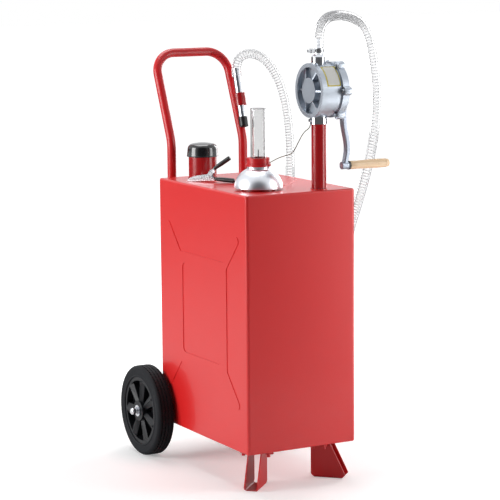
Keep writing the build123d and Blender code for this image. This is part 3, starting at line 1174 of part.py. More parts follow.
def lead_lug():
    """The screw and crimped barrel that join the earthing lead to the sleeve."""
    screw = rod(LUG_SCREW_RADIUS, (PORT_X - SLEEVE_RADIUS - LUG_SCREW_LENGTH, PORT_Y, LUG_Z), (PORT_X, PORT_Y, LUG_Z))
    barrel = rod(LUG_BARREL_RADIUS, (LUG_X, PORT_Y, LUG_Z - LUG_BARREL_LENGTH), (LUG_X, PORT_Y, LUG_Z))
    return screw + barrel - rod(SLEEVE_RADIUS, (PORT_X, PORT_Y, RISER_TOP_Z), (PORT_X, PORT_Y, SLEEVE_TOP_Z))


def lead_route():
    """The corners of the earthing lead's route, from its lug to the end of the clip's lower sleeve."""
    near, far = [clip_point(*spot) for spot in clip_spots(CLIP_LOWER_HANDLE_SHARES)]
    end = far + (far - near).normalized() * CLIP_SLEEVE_END
    start = Vector(LUG_X, PORT_Y, LUG_Z - LUG_BARREL_LENGTH)
    return [start, start - Vector(0, 0, LEAD_START_RUN), *(Vector(*point) for point in LEAD_POINTS),
            end + (far - near).normalized() * LEAD_END_RUN, end]


# Clip

def clip_frame():
    """The clip's own plane: X along its length from the jaws' tips, Y up, Z across it."""
    heading = radians(CLIP_HEADING)
    return Plane(origin=(CLIP_TIP_X, CLIP_TIP_Y, TANK_HEIGHT), x_dir=(cos(heading), sin(heading), 0),
                 z_dir=(sin(heading), -cos(heading), 0))


def clip_point(along, up, across=0.0):
    """A point of the clip in the part's frame."""
    return clip_frame().from_local_coords(Vector(along, up, across))


def clip_spots(shares):
    """Points of the clip's plane from their shares of the jaw's length and the pin's height."""
    return [(CLIP_JAW_LENGTH * along, CLIP_PIN_RISE * up) for along, up in shares]


def clip_handle(shares, thickness, width, lap, overhang):
    """A flat bar along one handle of the clip, in its plane, longer by a lap and an overhang at its ends."""
    (x, y), (far_x, far_y) = clip_spots(shares)
    length = sqrt((far_x - x) ** 2 + (far_y - y) ** 2) + lap + overhang
    bar = Pos(-lap, 0) * Box(length, thickness, width, align=(Align.MIN, Align.CENTER, Align.CENTER))
    return Pos(x, y) * Rot(0, 0, degrees(atan2(far_y - y, far_x - x))) * bar


def clip_jaw(outline_shares, handle_shares, width, side):
    """A folded jaw, open on the side of the other jaw, with cheeks round the pin and a tongue for its sleeve."""
    outline = Polygon(*clip_spots(outline_shares), align=None)
    outline += Pos(CLIP_JAW_LENGTH, CLIP_PIN_RISE) * Circle(CLIP_CHEEK_RADIUS)
    jaw = extrude(outline, width / 2, both=True)
    hollow = Pos(0, -side * CLIP_SHEET) * outline
    jaw -= extrude(hollow, width / 2 - CLIP_SHEET, both=True)
    return jaw + clip_handle(handle_shares, CLIP_TONGUE_THICKNESS, CLIP_TONGUE_WIDTH, CLIP_TONGUE_LAP, 0.0)


def clip_pin_hole(clearance):
    """The bar that cuts the pin's hole, in the clip's plane."""
    return Pos(CLIP_JAW_LENGTH, CLIP_PIN_RISE) * Cylinder(CLIP_PIN_RADIUS + clearance, 2 * CLIP_WIDTH)


def clip_jaw_lower():
    """The wider jaw, which lies on the tank's top."""
    jaw = clip_jaw(CLIP_LOWER_SHARES, CLIP_LOWER_HANDLE_SHARES, CLIP_WIDTH, -1)
    return clip_frame() * (jaw - clip_pin_hole(0.0))


def clip_jaw_upper():
    """The narrower jaw, inside the other's cheeks, with teeth on its lower edges."""
    jaw = clip_jaw(CLIP_UPPER_SHARES, CLIP_UPPER_HANDLE_SHARES, CLIP_WIDTH - 2 * CLIP_SHEET - 2 * FACE_GAP, 1)
    jaw -= clip_pin_hole(SHAFT_CLEARANCE)
    (x, y), (far_x, far_y) = clip_spots(CLIP_UPPER_SHARES[:2])
    notch = extrude(RegularPolygon(CLIP_TOOTH_SIZE, 3), CLIP_WIDTH, both=True)
    for number in range(CLIP_TOOTH_COUNT):
        along = (number + 1) * CLIP_TOOTH_PITCH
        jaw -= Pos(along, y + (far_y - y) * along / far_x) * Rot(0, 0, 90) * notch
    return clip_frame() * jaw


def clip_sleeve(shares, jaw):
    """The rubber sleeve over the tongue of one jaw."""
    sleeve = clip_handle(shares, CLIP_SLEEVE_HEIGHT, CLIP_SLEEVE_WIDTH, 0.0, CLIP_SLEEVE_END)
    edges = sleeve.edges().filter_by(GeomType.LINE)
    longest = edges.group_by(SortBy.LENGTH)[-1]
    sleeve = fillet(longest, CLIP_SLEEVE_HEIGHT * CLIP_SLEEVE_ROUND_SHARE)
    return clip_frame() * sleeve - jaw


def clip_pin():
    """The riveted pin through both pairs of cheeks."""
    half = CLIP_WIDTH / 2
    pin = Cylinder(CLIP_PIN_RADIUS, CLIP_WIDTH)
    for side in (-1, 1):
        pin += Pos(0, 0, side * (half + CLIP_PIN_HEAD / 2)) * Cylinder(2 * CLIP_PIN_RADIUS, CLIP_PIN_HEAD)
    return clip_frame() * Pos(CLIP_JAW_LENGTH, CLIP_PIN_RISE) * pin


def clip_spring():
    """The coil spring on the pin, as the plain tube that its turns fill."""
    bore = CLIP_PIN_RADIUS + FACE_GAP
    tube = Cylinder(bore + CLIP_SPRING_WALL, CLIP_SPRING_LENGTH) - Cylinder(bore, CLIP_SPRING_LENGTH)
    return clip_frame() * Pos(CLIP_JAW_LENGTH, CLIP_PIN_RISE) * tube


hose, hose_path = cord(hose_route(), HOSE_RADIUS, HOSE_BORE)
lead, lead_path = cord(lead_route(), LEAD_RADIUS)
cords = {"hose": hose, "ground_wire": lead}
on_cords = {
    "nozzle_tube": nozzle_tube(),
    "nozzle_tip": nozzle_tip(),
    "clip_jaw_lower": clip_jaw_lower(),
    "clip_jaw_upper": clip_jaw_upper(),
    "clip_sleeve_lower": clip_sleeve(CLIP_LOWER_HANDLE_SHARES, clip_jaw_lower()),
    "clip_sleeve_upper": clip_sleeve(CLIP_UPPER_HANDLE_SHARES, clip_jaw_upper()),
    "clip_pin": clip_pin(),
    "clip_spring": clip_spring(),
}
rigid = {
    "tank_shell": tank_shell(),
    "tank_top": tank_top(),
    "tank_bottom": tank_bottom(),
    "foot_studs": foot_studs(),
    "axle": axle(),
    "axle_retainers": axle_retainers(),
    "handle": handle(),
    "handle_spacers": handle_spacers(),
    "handle_bolts": handle_bolts(),
    "nozzle_holder": nozzle_holder(),
    "filler_neck": filler_neck(),
    "filler_cap": filler_cap(),
    "cap_gasket": cap_gasket(),
    "gauge_base": gauge_base(),
    "gauge_dome": gauge_dome(),
    "gauge_collar": gauge_collar(),
    "gauge_tube": gauge_tube(),
    "gauge_stem": gauge_stem(),
    "gauge_needle": gauge_needle(),
    "gauge_float": gauge_float(),
    "float_arm": float_arm(),
    "riser_pipe": riser_pipe(),
    "suction_pipe": suction_pipe(),
    "suction_strainer": suction_strainer(),
    "inlet_sleeve": inlet_sleeve(),
    "lead_lug": lead_lug(),
    "pump_body": pump_body(),
    "pump_cover": pump_cover(),
    "cover_bolts": cover_bolts(),
    "packing_nut": packing_nut(),
    "pump_rotor": pump_rotor(),
    "pump_vanes": pump_vanes(),
    "pump_shaft": pump_shaft(),
    "crank_arm": crank_arm(),
    "crank_screw": crank_screw(),
    "grip": grip(),
    "grip_ferrule": grip_ferrule(),
    "grip_spindle": grip_spindle(),
    "outlet_fitting": outlet_fitting(),
    "hose_clamp": hose_clamp(),
}
for side, name in ((-1, "left"), (1, "right")):
    rigid[f"foot_{name}"] = foot(side)
    rigid[f"tyre_{name}"] = tyre(side)
    rigid[f"wheel_centre_{name}"] = wheel_centre(side)
    rigid[f"wheel_bush_{name}"] = wheel_bush(side)
    rigid[f"axle_bracket_{name}"] = axle_bracket(side)

# The rigid object's box without the cords and what is on them gives the origin
boxes = [piece.bounding_box() for piece in rigid.values()]
low = Vector(*(min(tuple(box.min)[axis] for box in boxes) for axis in range(3)))
high = Vector(*(max(tuple(box.max)[axis] for box in boxes) for axis in range(3)))
to_origin = Pos(-(low.X + high.X) / 2, -(low.Y + high.Y) / 2, -low.Z)

os.makedirs("parts", exist_ok=True)
for name, piece in {**rigid, **on_cords, **cords}.items():
    export_step(to_origin * piece, f"parts/{name}.step")

print("origin moved by", tuple(round(value, 3) for value in to_origin.position))
for name, piece, path, route, area in (
        ("hose", hose, hose_path, hose_route(), pi * (HOSE_RADIUS ** 2 - HOSE_BORE ** 2)),
        ("ground_wire", lead, lead_path, lead_route(), pi * LEAD_RADIUS ** 2)):
    print(name, "arc radii", [round(radius, 1) for radius in corner_radii(route)])
    print(name, "length", round(path.length, 1), "volume over section times length",
          round(piece.volume / (area * path.length), 4))
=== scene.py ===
import json
import logging
import math
from collections.abc import Iterable, Sequence
from dataclasses import dataclass
from enum import Enum

import bmesh
import bpy
from mathutils import Matrix, Vector


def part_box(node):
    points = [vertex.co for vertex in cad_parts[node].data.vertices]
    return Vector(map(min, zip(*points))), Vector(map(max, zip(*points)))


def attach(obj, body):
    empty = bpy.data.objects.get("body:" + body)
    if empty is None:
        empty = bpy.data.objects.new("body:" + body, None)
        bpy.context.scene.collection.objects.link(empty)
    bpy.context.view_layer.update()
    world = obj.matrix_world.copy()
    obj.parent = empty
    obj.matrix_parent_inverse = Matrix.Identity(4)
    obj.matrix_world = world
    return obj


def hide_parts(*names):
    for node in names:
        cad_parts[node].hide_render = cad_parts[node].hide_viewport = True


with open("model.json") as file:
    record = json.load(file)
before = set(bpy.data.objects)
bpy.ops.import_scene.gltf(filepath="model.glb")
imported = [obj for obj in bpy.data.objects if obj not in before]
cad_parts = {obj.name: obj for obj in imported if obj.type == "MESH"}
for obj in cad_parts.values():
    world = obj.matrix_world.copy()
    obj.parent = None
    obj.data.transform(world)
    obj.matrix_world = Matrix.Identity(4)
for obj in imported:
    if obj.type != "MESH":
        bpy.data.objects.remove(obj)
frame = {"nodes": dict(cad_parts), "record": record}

log = logging.getLogger("fuel_caddy")

Colour = tuple[float, float, float]
Point = tuple[float, float, float]
Pair = tuple[float, float]

MM = 0.001
FULL_TURN = 2 * math.pi
SHARP_EDGE = math.radians(38)
MERGE_GAP = 0.002 * MM
SLIVER = 0.0005 * MM
COPY_SEED = 7
X_AXIS = Vector((1.0, 0.0, 0.0))
Z_AXIS = Vector((0.0, 0.0, 1.0))

# Places in millimetres from the middle of the tank's underside
PORT: Pair = (72.0, -228.0)
PUMP_AXIS: Pair = (-228.0, 967.0)
NECK: Pair = (-62.0, 190.0)
AXLE: Pair = (287.0, 25.0)


class Body(Enum):
    """The rigid bodies of the caddy that pieces ride on."""

    CADDY = "caddy"
    WHEEL_LEFT = "wheel_left"
    WHEEL_RIGHT = "wheel_right"
    CAP = "cap"
    GRIP = "crank_grip"
    CLIP_UPPER = "clip_upper"


class Slot(Enum):
    """The finishes that the caddy's pieces are given."""

    TANK_PAINT = "tank_paint"
    FRAME_PAINT = "frame_paint"
    SHADED_TUBE_PAINT = "tube_paint"
    PLATED_STEEL = "plated_steel"
    CHROME = "chrome"
    TYRE_RUBBER = "tyre_rubber"
    WHEEL_PLASTIC = "wheel_plastic"
    PALE_PLASTIC = "pale_plastic"
    BLACK_RUBBER = "black_rubber"
    CAP_PLASTIC = "cap_plastic"
    CLEAR_PLASTIC = "clear_plastic"
    NEEDLE_WIRE = "needle_wire"
    FLOAT_PLASTIC = "float_plastic"
    CAST_ALLOY = "cast_alloy"
    ROTOR_IRON = "rotor_iron"
    VANE_PLASTIC = "vane_plastic"
    GRIP_WOOD = "grip_wood"
    BLACK_PLASTIC = "black_plastic"
    CLEAR_HOSE = "clear_hose"
    LEAD_SHEATH = "lead_sheath"


def tank_origin() -> Vector:
    """The middle of the tank's underside in the shared frame, in metres."""
    low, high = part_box("tank_shell")
    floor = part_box("tank_bottom")[0]
    return Vector(((low.x + high.x) / 2, (low.y + high.y) / 2, floor.z))


ORIGIN = tank_origin()


def at(x: float, y: float, z: float) -> Vector:
    """A place given in millimetres from the middle of the tank's underside, in metres of the shared frame."""
    return ORIGIN + Vector((x, y, z)) * MM


def srgb(red: int, green: int, blue: int) -> Colour:
    """A colour given as screen values from 0 to 255, as linear light."""
    shares = [channel / 255 for channel in (red, green, blue)]
    return tuple(s / 12.92 if s <= 0.04045 else ((s + 0.055) / 1.055) ** 2.4 for s in shares)


def toned(colour: Colour, share: float) -> Colour:
    """A darker tone of a colour."""
    return tuple(channel * share for channel in colour)


# Wiring of node trees

class Wire:
    """An output socket that can stand in sums."""

    def __init__(self, wiring: "Wiring", socket: bpy.types.NodeSocket) -> None:
        """Keeps the tree's wiring and the socket."""
        self.wiring, self.socket = wiring, socket

    def _sum(self, operation: str, *terms: "Wire | float") -> "Wire":
        """Adds one Math node that takes the terms in order."""
        return self.wiring.add("ShaderNodeMath", {"operation": operation}, dict(enumerate(terms)))

    def __add__(self, other: "Wire | float") -> "Wire":
        """This value plus another."""
        return self._sum("ADD", self, other)

    __radd__ = __add__

    def __sub__(self, other: "Wire | float") -> "Wire":
        """This value less another."""
        return self._sum("SUBTRACT", self, other)

    def __rsub__(self, other: "Wire | float") -> "Wire":
        """Another value less this one."""
        return self._sum("SUBTRACT", other, self)

    def __mul__(self, other: "Wire | float") -> "Wire":
        """This value times another."""
        return self._sum("MULTIPLY", self, other)

    __rmul__ = __mul__

    def __truediv__(self, other: "Wire | float") -> "Wire":
        """This value over another."""
        return self._sum("DIVIDE", self, other)

    def __pow__(self, other: "Wire | float") -> "Wire":
        """This value to a power."""
        return self._sum("POWER", self, other)

    def apply(self, operation: str, *others: "Wire | float") -> "Wire":
        """Any other Math operation on this value, such as SINE or MAXIMUM."""
        return self._sum(operation, self, *others)


class Wiring:
    """Adds nodes to one tree and links them."""

    def __init__(self, tree: bpy.types.NodeTree) -> None:
        """Keeps the tree."""
        self.tree = tree

    def add(self, kind: str, settings: dict | None = None, sockets: dict | None = None,
            output: int | str = 0) -> Wire:
        """Adds one node.

        Args:
            kind: The node's type.
            settings: Its properties.
            sockets: The value or the wire of each input, by name or number.
            output: The name or number of the output that is wanted.

        Returns:
            The wire of that output.
        """
        node = self.tree.nodes.new(kind)
        for name, value in (settings or {}).items():
            setattr(node, name, value)
        for name, value in (sockets or {}).items():
            if isinstance(value, Wire):
                self.tree.links.new(value.socket, node.inputs[name])
            else:
                node.inputs[name].default_value = value
        return Wire(self, node.outputs[output] if len(node.outputs) else None)

    def outputs(self, kind: str, *names: str) -> list[Wire]:
        """Adds one node and gives the wires of several of its outputs."""
        node = self.add(kind).socket.node
        return [Wire(self, node.outputs[name]) for name in names]

    def vector(self, operation: str, *terms: Wire | Vector, output: int | str = 0) -> Wire:
        """Adds one Vector Math node that takes the terms in order; its output Value is a number."""
        return self.add("ShaderNodeVectorMath", {"operation": operation}, dict(enumerate(terms)), output)

    def mix(self, share: Wire | float, first: Wire | Colour, second: Wire | Colour) -> Wire:
        """A blend of two colours, by how much of the second one shows."""
        ends = [value if isinstance(value, Wire) else (*value, 1.0) for value in (first, second)]
        return self.add("ShaderNodeMix", {"data_type": "RGBA"}, {0: share, 6: ends[0], 7: ends[1]}, 2)

    def ease(self, value: Wire, places: Pair, results: Pair) -> Wire:
        """A smooth step from one result to the other, as a value goes from one place to the other."""
        limits = dict(zip(("From Min", "From Max", "To Min", "To Max"), (*places, *results)))
        return self.add("ShaderNodeMapRange", {"interpolation_type": "SMOOTHSTEP"}, {"Value": value, **limits})

    def spot(self, scale: Point = (1.0, 1.0, 1.0), centre: Vector | None = None) -> Wire:
        """The point on the piece, in object coordinates.

        Args:
            scale: A stretch of the pattern along each axis.
            centre: The place that the pattern starts from, where it isn't the origin.

        Returns:
            The wire of the coordinates.
        """
        place = self.add("ShaderNodeTexCoord", output="Object")
        if centre is not None:
            place = self.vector("SUBTRACT", place, centre)
        return self.add("ShaderNodeMapping", {}, {"Vector": place, "Scale": scale})

    def noise(self, scale: float, detail: float = 2.0, spot: Wire | None = None) -> Wire:
        """A cloudy pattern of about 0.3 to 0.7, with its scale in features a metre."""
        sockets = {"Vector": spot or self.spot(), "Scale": scale, "Detail": detail}
        return self.add("ShaderNodeTexNoise", {}, sockets)

    def relief(self, height: Wire, depth: float, strength: float = 1.0, below: Wire | None = None) -> Wire:
        """A bump.

        Args:
            height: The wire of the height, from 0 to 1.
            depth: The height of its peaks in metres.
            strength: How strongly it shows.
            below: A coarser bump that this one lies on.

        Returns:
            The wire of the normal.
        """
        sockets = {"Height": height, "Distance": depth, "Strength": strength}
        if below is not None:
            sockets["Normal"] = below
        return self.add("ShaderNodeBump", {}, sockets)


# Finishes

@dataclass(frozen=True)
class Finish:
    """A plain finish: its colour, roughness and metal share."""

    colour: Colour
    roughness: float
    metallic: float = 0.0

    def sockets(self, wiring: Wiring) -> dict[str, object]:
        """The inputs of the surface shader that give this finish its own detail."""
        return {}

    def material(self, name: str) -> bpy.types.Material:
        """Makes the material.

        Args:
            name: The name of the finish.

        Returns:
            The material with its nodes.
        """
        material = bpy.data.materials.new(name)
        material.use_nodes = True
        material.node_tree.nodes.clear()
        wiring = Wiring(material.node_tree)
        inputs = {"Base Color": (*self.colour, 1.0), "Roughness": self.roughness, "Metallic": self.metallic}
        inputs.update(self.sockets(wiring))
        surface = wiring.add("ShaderNodeBsdfPrincipled", {}, inputs)
        wiring.add("ShaderNodeOutputMaterial", {}, {"Surface": surface})
        material.diffuse_color = (*self.colour, 1.0)
        return material


@dataclass(frozen=True)
class Paint(Finish):
    """Powder coat: a slow drift of tone, a fine orange peel, and a clear gloss on top."""

    deep: Colour = (0.3, 0.0, 0.0)
    drift: float = 0.25
    coat: float = 0.05
    coat_roughness: float = 0.08
    peel_depth: float = 0.00003
    cloud_scale: float = 5.0
    peel_scale: float = 420.0
    speck_scale: float = 1800.0

    def sockets(self, wiring: Wiring) -> dict[str, object]:
        """Tone, gloss and orange peel.

        Args:
            wiring: The material's wiring.

        Returns:
            The values and wires of the shader's inputs.
        """
        cloud, specks = wiring.noise(self.cloud_scale, 3.0), wiring.noise(self.speck_scale, 1.0)
        return {
            "Base Color": wiring.mix(cloud * self.drift, self.colour, self.deep),
            "Roughness": self.roughness + (specks - 0.5) * 0.08 + (cloud - 0.5) * 0.06,
            "Coat Weight": self.coat,
            "Coat Roughness": self.coat_roughness,
            "Normal": wiring.relief(wiring.noise(self.peel_scale, 1.0), self.peel_depth, 0.6),
        }


@dataclass(frozen=True)
class Metal(Finish):
    """Bare or plated metal, with a fine grain and a drift in its gloss."""

    metallic: float = 1.0
    grain_scale: float = 700.0
    grain_depth: float = 0.00002
    smudge_scale: float = 22.0
    smudge: float = 0.08
    darkest: float = 0.86

    def sockets(self, wiring: Wiring) -> dict[str, object]:
        """Smudges in the gloss and the grain of the surface.

        Args:
            wiring: The material's wiring.

        Returns:
            The values and wires of the shader's inputs.
        """
        smudge, grain = wiring.noise(self.smudge_scale, 4.0), wiring.noise(self.grain_scale, 3.0)
        return {
            "Base Color": wiring.mix(smudge * 0.5, self.colour, toned(self.colour, self.darkest)),
            "Roughness": self.roughness + (smudge - 0.45) * self.smudge,
            "Normal": wiring.relief(grain, self.grain_depth, 0.5),
        }


@dataclass(frozen=True)
class Casting(Metal):
    """Cast aluminium: a sandy skin with faint pits and darker hollows."""

    darkest: float = 0.55
    sand_scale: float = 900.0
    flow_scale: float = 38.0
    flow_depth: float = 0.0004
    pit_scale: float = 260.0
    pit_reach: float = 0.16

    def sockets(self, wiring: Wiring) -> dict[str, object]:
        """Sand grain, pits and flow marks.

        Args:
            wiring: The material's wiring.

        Returns:
            The values and wires of the shader's inputs.
        """
        sand, flow = wiring.noise(self.sand_scale, 4.0), wiring.noise(self.flow_scale, 2.0)
        cells = wiring.add("ShaderNodeTexVoronoi", {}, {"Vector": wiring.spot(), "Scale": self.pit_scale})
        pitted = cells.apply("LESS_THAN", self.pit_reach)
        below = wiring.relief(flow, self.flow_depth, 0.25)
        return {
            "Base Color": wiring.mix(pitted * 0.3 + flow * 0.25, self.colour, toned(self.colour, self.darkest)),
            "Roughness": self.roughness + (sand - 0.5) * 0.2 + (flow - 0.5) * 0.12,
            "Normal": wiring.relief(sand - pitted * 0.5, self.grain_depth, 0.7, below),
        }


@dataclass(frozen=True)
class Moulding(Finish):
    """Moulded plastic or rubber: a fine stipple, a drift in its gloss, and dust on what faces up."""

    stipple_scale: float = 1500.0
    stipple_depth: float = 0.00003
    cloud_scale: float = 30.0
    dust: float = 0.06
    dust_colour: Colour = (0.35, 0.34, 0.32)
    coat: float = 0.0
    shine: float = 0.5

    def sockets(self, wiring: Wiring) -> dict[str, object]:
        """Stipple, gloss and dust.

        Args:
            wiring: The material's wiring.

        Returns:
            The values and wires of the shader's inputs.
        """
        stipple, cloud = wiring.noise(self.stipple_scale, 2.0), wiring.noise(self.cloud_scale, 3.0)
        facing = wiring.add("ShaderNodeNewGeometry", output="Normal")
        up = wiring.add("ShaderNodeSeparateXYZ", {}, {"Vector": facing}, "Z").apply("MAXIMUM", 0.0)
        return {
            "Base Color": wiring.mix((up * 0.5 + cloud) * self.dust, self.colour, self.dust_colour),
            "Roughness": self.roughness + (cloud - 0.5) * 0.15,
            "Coat Weight": self.coat,
            "Coat Roughness": 0.05,
            "Specular IOR Level": self.shine,
            "Normal": wiring.relief(stipple, self.stipple_depth, 0.6),
        }


@dataclass(frozen=True)
class TyreRubber(Moulding):
    """Solid tyre rubber, with the fine turned rings of its mould round the axle."""

    ring_scale: float = 1500.0
    ring_depth: float = 0.0002

    def sockets(self, wiring: Wiring) -> dict[str, object]:
        """Mould rings by the distance from the axle, over the stipple.

        Args:
            wiring: The material's wiring.

        Returns:
            The values and wires of the shader's inputs.
        """
        inputs = super().sockets(wiring)
        reach = wiring.vector("LENGTH", wiring.spot((0.0, 1.0, 1.0), at(0.0, *AXLE)), output="Value")
        rings = (reach * self.ring_scale).apply("SINE") * 0.5 + 0.5
        inputs["Normal"] = wiring.relief(rings, self.ring_depth, 0.35, inputs["Normal"])
        return inputs


@dataclass(frozen=True)
class TurnedWood(Finish):
    """Pale turned beech: grain along the grip, short dark flecks and a thin lacquer."""

    dark: Colour = (0.5, 0.3, 0.15)
    band_scale: float = 260.0
    fleck_scale: float = 1400.0
    fleck_depth: float = 0.00008
    stretch: Point = (0.06, 1.0, 1.0)

    def sockets(self, wiring: Wiring) -> dict[str, object]:
        """Growth bands, flecks and pores.

        Args:
            wiring: The material's wiring.

        Returns:
            The values and wires of the shader's inputs.
        """
        long_spot = wiring.spot(self.stretch)
        bands, flecks = wiring.noise(self.band_scale, 3.0, long_spot), wiring.noise(self.fleck_scale, 2.0, long_spot)
        fleck_mask = (flecks - 0.58).apply("MAXIMUM", 0.0) * 3.0
        return {
            "Base Color": wiring.mix((bands - 0.35) * 0.9 + fleck_mask, self.colour, self.dark),
            "Roughness": self.roughness + (bands - 0.5) * 0.2,
            "Coat Weight": 0.25,
            "Coat Roughness": 0.2,
            "Normal": wiring.relief(flecks, self.fleck_depth, 0.5),
        }


@dataclass(frozen=True)
class ClearWall(Finish):
    """Clear plastic that light passes through, with faint streaks of the drawing die and painted shade on its edges.
    """

    bend: float = 1.3
    # The edge colour is painted shade: the base colour turns to it where the wall is seen edge-on, for the dark
    # surroundings that the wall refracts.
    edge: Colour = (0.03, 0.03, 0.03)
    painted_edge_shade_power: float = 1.6
    streak_scale: float = 60.0

    def sockets(self, wiring: Wiring) -> dict[str, object]:
        """Streaks in the gloss, the light that passes, and painted shade that darkens the wall where it is seen
        edge-on.

        Args:
            wiring: The material's wiring.

        Returns:
            The values and wires of the shader's inputs.
        """
        streaks = wiring.noise(self.streak_scale, 2.0)
        # Painted shade: Layer Weight's facing darkens the base colour towards the wall's edges.
        along = wiring.add("ShaderNodeLayerWeight", {}, {"Blend": 0.5}, "Facing") ** self.painted_edge_shade_power
        return {
            "Base Color": wiring.mix(along, self.colour, self.edge),
            "Transmission Weight": 1.0,
            "IOR": self.bend,
            "Roughness": self.roughness + (streaks - 0.4) * 0.05,
        }


@dataclass(frozen=True)
class StrandedLead(Finish):
    """The olive sheath of the earthing lead, with the twist of its strands."""

    darkest: float = 0.45
    strand_scale: float = 220.0
    strand_depth: float = 0.0001
    cloud_scale: float = 90.0

    def sockets(self, wiring: Wiring) -> dict[str, object]:
        """A slanted wave for the strands and a drift of tone.

        Args:
            wiring: The material's wiring.

        Returns:
            The values and wires of the shader's inputs.
        """
        wave = wiring.add("ShaderNodeTexWave", {"bands_direction": "DIAGONAL"},
                          {"Vector": wiring.spot(), "Scale": self.strand_scale}, 1)
        share = wave * 0.4 + wiring.noise(self.cloud_scale, 3.0) * 0.3
        return {
            "Base Color": wiring.mix(share, self.colour, toned(self.colour, self.darkest)),
            "Normal": wiring.relief(wave, self.strand_depth, 0.6),
        }


@dataclass(frozen=True)
class FloorPaint(Finish):
    """A pale floor that keeps the caddy's shadow and shows white further out."""

    reach: Pair = (0.5, 2.4)
    glow: Pair = (0.3, 1.0)

    def sockets(self, wiring: Wiring) -> dict[str, object]:
        """The glow that only the camera and what is clear see.

        Args:
            wiring: The material's wiring.

        Returns:
            The values and wires of the shader's inputs.
        """
        camera, through = wiring.outputs("ShaderNodeLightPath", "Is Camera Ray", "Is Transmission Ray")
        glow = wiring.ease(wiring.vector("LENGTH", wiring.spot(), output="Value"), self.reach, self.glow)
        return {
            "Specular IOR Level": 0.1,
            "Emission Color": (1.0, 1.0, 1.0, 1.0),
            "Emission Strength": camera.apply("MAXIMUM", through) * glow,
        }


FINISHES: dict[Slot, Finish] = {
    Slot.TANK_PAINT: Paint(srgb(222, 36, 36), 0.33, deep=srgb(202, 26, 28), coat=0.26),
    Slot.FRAME_PAINT: Paint(srgb(205, 26, 30), 0.36, deep=srgb(176, 18, 22)),
    # Painted shade: the tube paint's base is a darker copy of the handle's red, matching the shaded middles of the
    # riser and filler neck; the weld beads share it.
    Slot.SHADED_TUBE_PAINT: Paint(srgb(172, 7, 15), 0.22, deep=srgb(152, 4, 10), coat=0.12, peel_depth=0.000008),
    Slot.PLATED_STEEL: Metal(srgb(205, 207, 210), 0.28),
    Slot.CHROME: Metal(srgb(232, 235, 240), 0.09, smudge=0.04, grain_depth=0.000006),
    Slot.TYRE_RUBBER: TyreRubber(srgb(15, 17, 22), 0.66, dust=0.006, shine=0.2),
    Slot.WHEEL_PLASTIC: Moulding(srgb(13, 15, 20), 0.42, dust=0.006, shine=0.3),
    Slot.PALE_PLASTIC: Moulding(srgb(222, 219, 208), 0.45, dust=0.15),
    Slot.BLACK_RUBBER: Moulding(srgb(11, 11, 13), 0.3, dust=0.01),
    Slot.CAP_PLASTIC: Moulding(srgb(8, 9, 12), 0.16, dust=0.004, stipple_depth=0.000006, coat=0.6),
    # The gauge tube's clear finish darkens its edges with painted shade, through ClearWall's edge colour.
    Slot.CLEAR_PLASTIC: ClearWall(srgb(232, 232, 232), 0.03),
    Slot.NEEDLE_WIRE: Metal(srgb(52, 52, 56), 0.35),
    Slot.FLOAT_PLASTIC: Moulding(srgb(226, 120, 40), 0.4),
    Slot.CAST_ALLOY: Casting(srgb(178, 185, 194), 0.38, grain_depth=0.00008),
    Slot.ROTOR_IRON: Metal(srgb(120, 121, 124), 0.35),
    Slot.VANE_PLASTIC: Moulding(srgb(132, 112, 84), 0.5),
    Slot.GRIP_WOOD: TurnedWood(srgb(236, 205, 166), 0.42, dark=srgb(202, 156, 110)),
    Slot.BLACK_PLASTIC: Moulding(srgb(40, 38, 40), 0.35),
    # The hose's edge colour is painted shade along the wall's edges.
    Slot.CLEAR_HOSE: ClearWall(srgb(252, 252, 252), 0.03, bend=1.12, edge=(0.055, 0.055, 0.06)),
    Slot.LEAD_SHEATH: StrandedLead(srgb(98, 94, 54), 0.45),
}
HELIX_FINISH = Moulding(srgb(180, 182, 186), 0.4, dust=0.0)
DOME_FINISH = Metal(srgb(232, 235, 240), 0.3, smudge=0.05, grain_depth=0.00001)
PLATE_FINISH = Moulding(srgb(243, 242, 236), 0.35, dust=0.02, stipple_depth=0.000005)
PLATE_RIM_FINISH = Moulding(srgb(226, 206, 62), 0.35, dust=0.02, stipple_depth=0.000005)
ARM_FINISH = Casting(srgb(158, 165, 177), 0.42, grain_depth=0.00005)
JAW_FINISH = Metal(srgb(226, 228, 232), 0.22)
# Painted light: the handle and the gauge collar get a brighter, lit copy of the tube's red paint, with less gloss.
LIT_SATIN_PAINT = Paint(srgb(204, 18, 25), 0.34, deep=srgb(184, 10, 16), coat=0.02, peel_depth=0.00001)
FLOOR_FINISH = FloorPaint((0.86, 0.86, 0.86), 0.9)
NODE_FINISHES: dict[str, Finish] = {
    "crank_arm": ARM_FINISH,
    "handle": LIT_SATIN_PAINT,
    "gauge_collar": LIT_SATIN_PAINT,
    "clip_jaw_lower": JAW_FINISH,
    "clip_jaw_upper": JAW_FINISH,
}


# Meshes

def link(name: str, data: bpy.types.ID) -> bpy.types.Object:
    """Puts new data in the scene as an object at the origin.

    Args:
        name: The object's name.
        data: Its mesh, curve, camera or lamp.

    Returns:
        The object.
    """
    piece = bpy.data.objects.new(name, data)
    bpy.context.scene.collection.objects.link(piece)
    return piece


def shade(mesh: bpy.types.Mesh) -> None:
    """Shades a mesh smooth, with breaks at its edges."""
    mesh.polygons.foreach_set("use_smooth", [True] * len(mesh.polygons))
    mesh.set_sharp_from_angle(angle=SHARP_EDGE)


def evaluated(piece: bpy.types.Object) -> bpy.types.Mesh:
    """The mesh that an object's curve or modifiers come to.

    Args:
        piece: The object.

    Returns:
        A plain mesh of its own.
    """
    bpy.context.view_layer.update()
    graph = bpy.context.evaluated_depsgraph_get()
    return bpy.data.meshes.new_from_object(piece.evaluated_get(graph), depsgraph=graph)


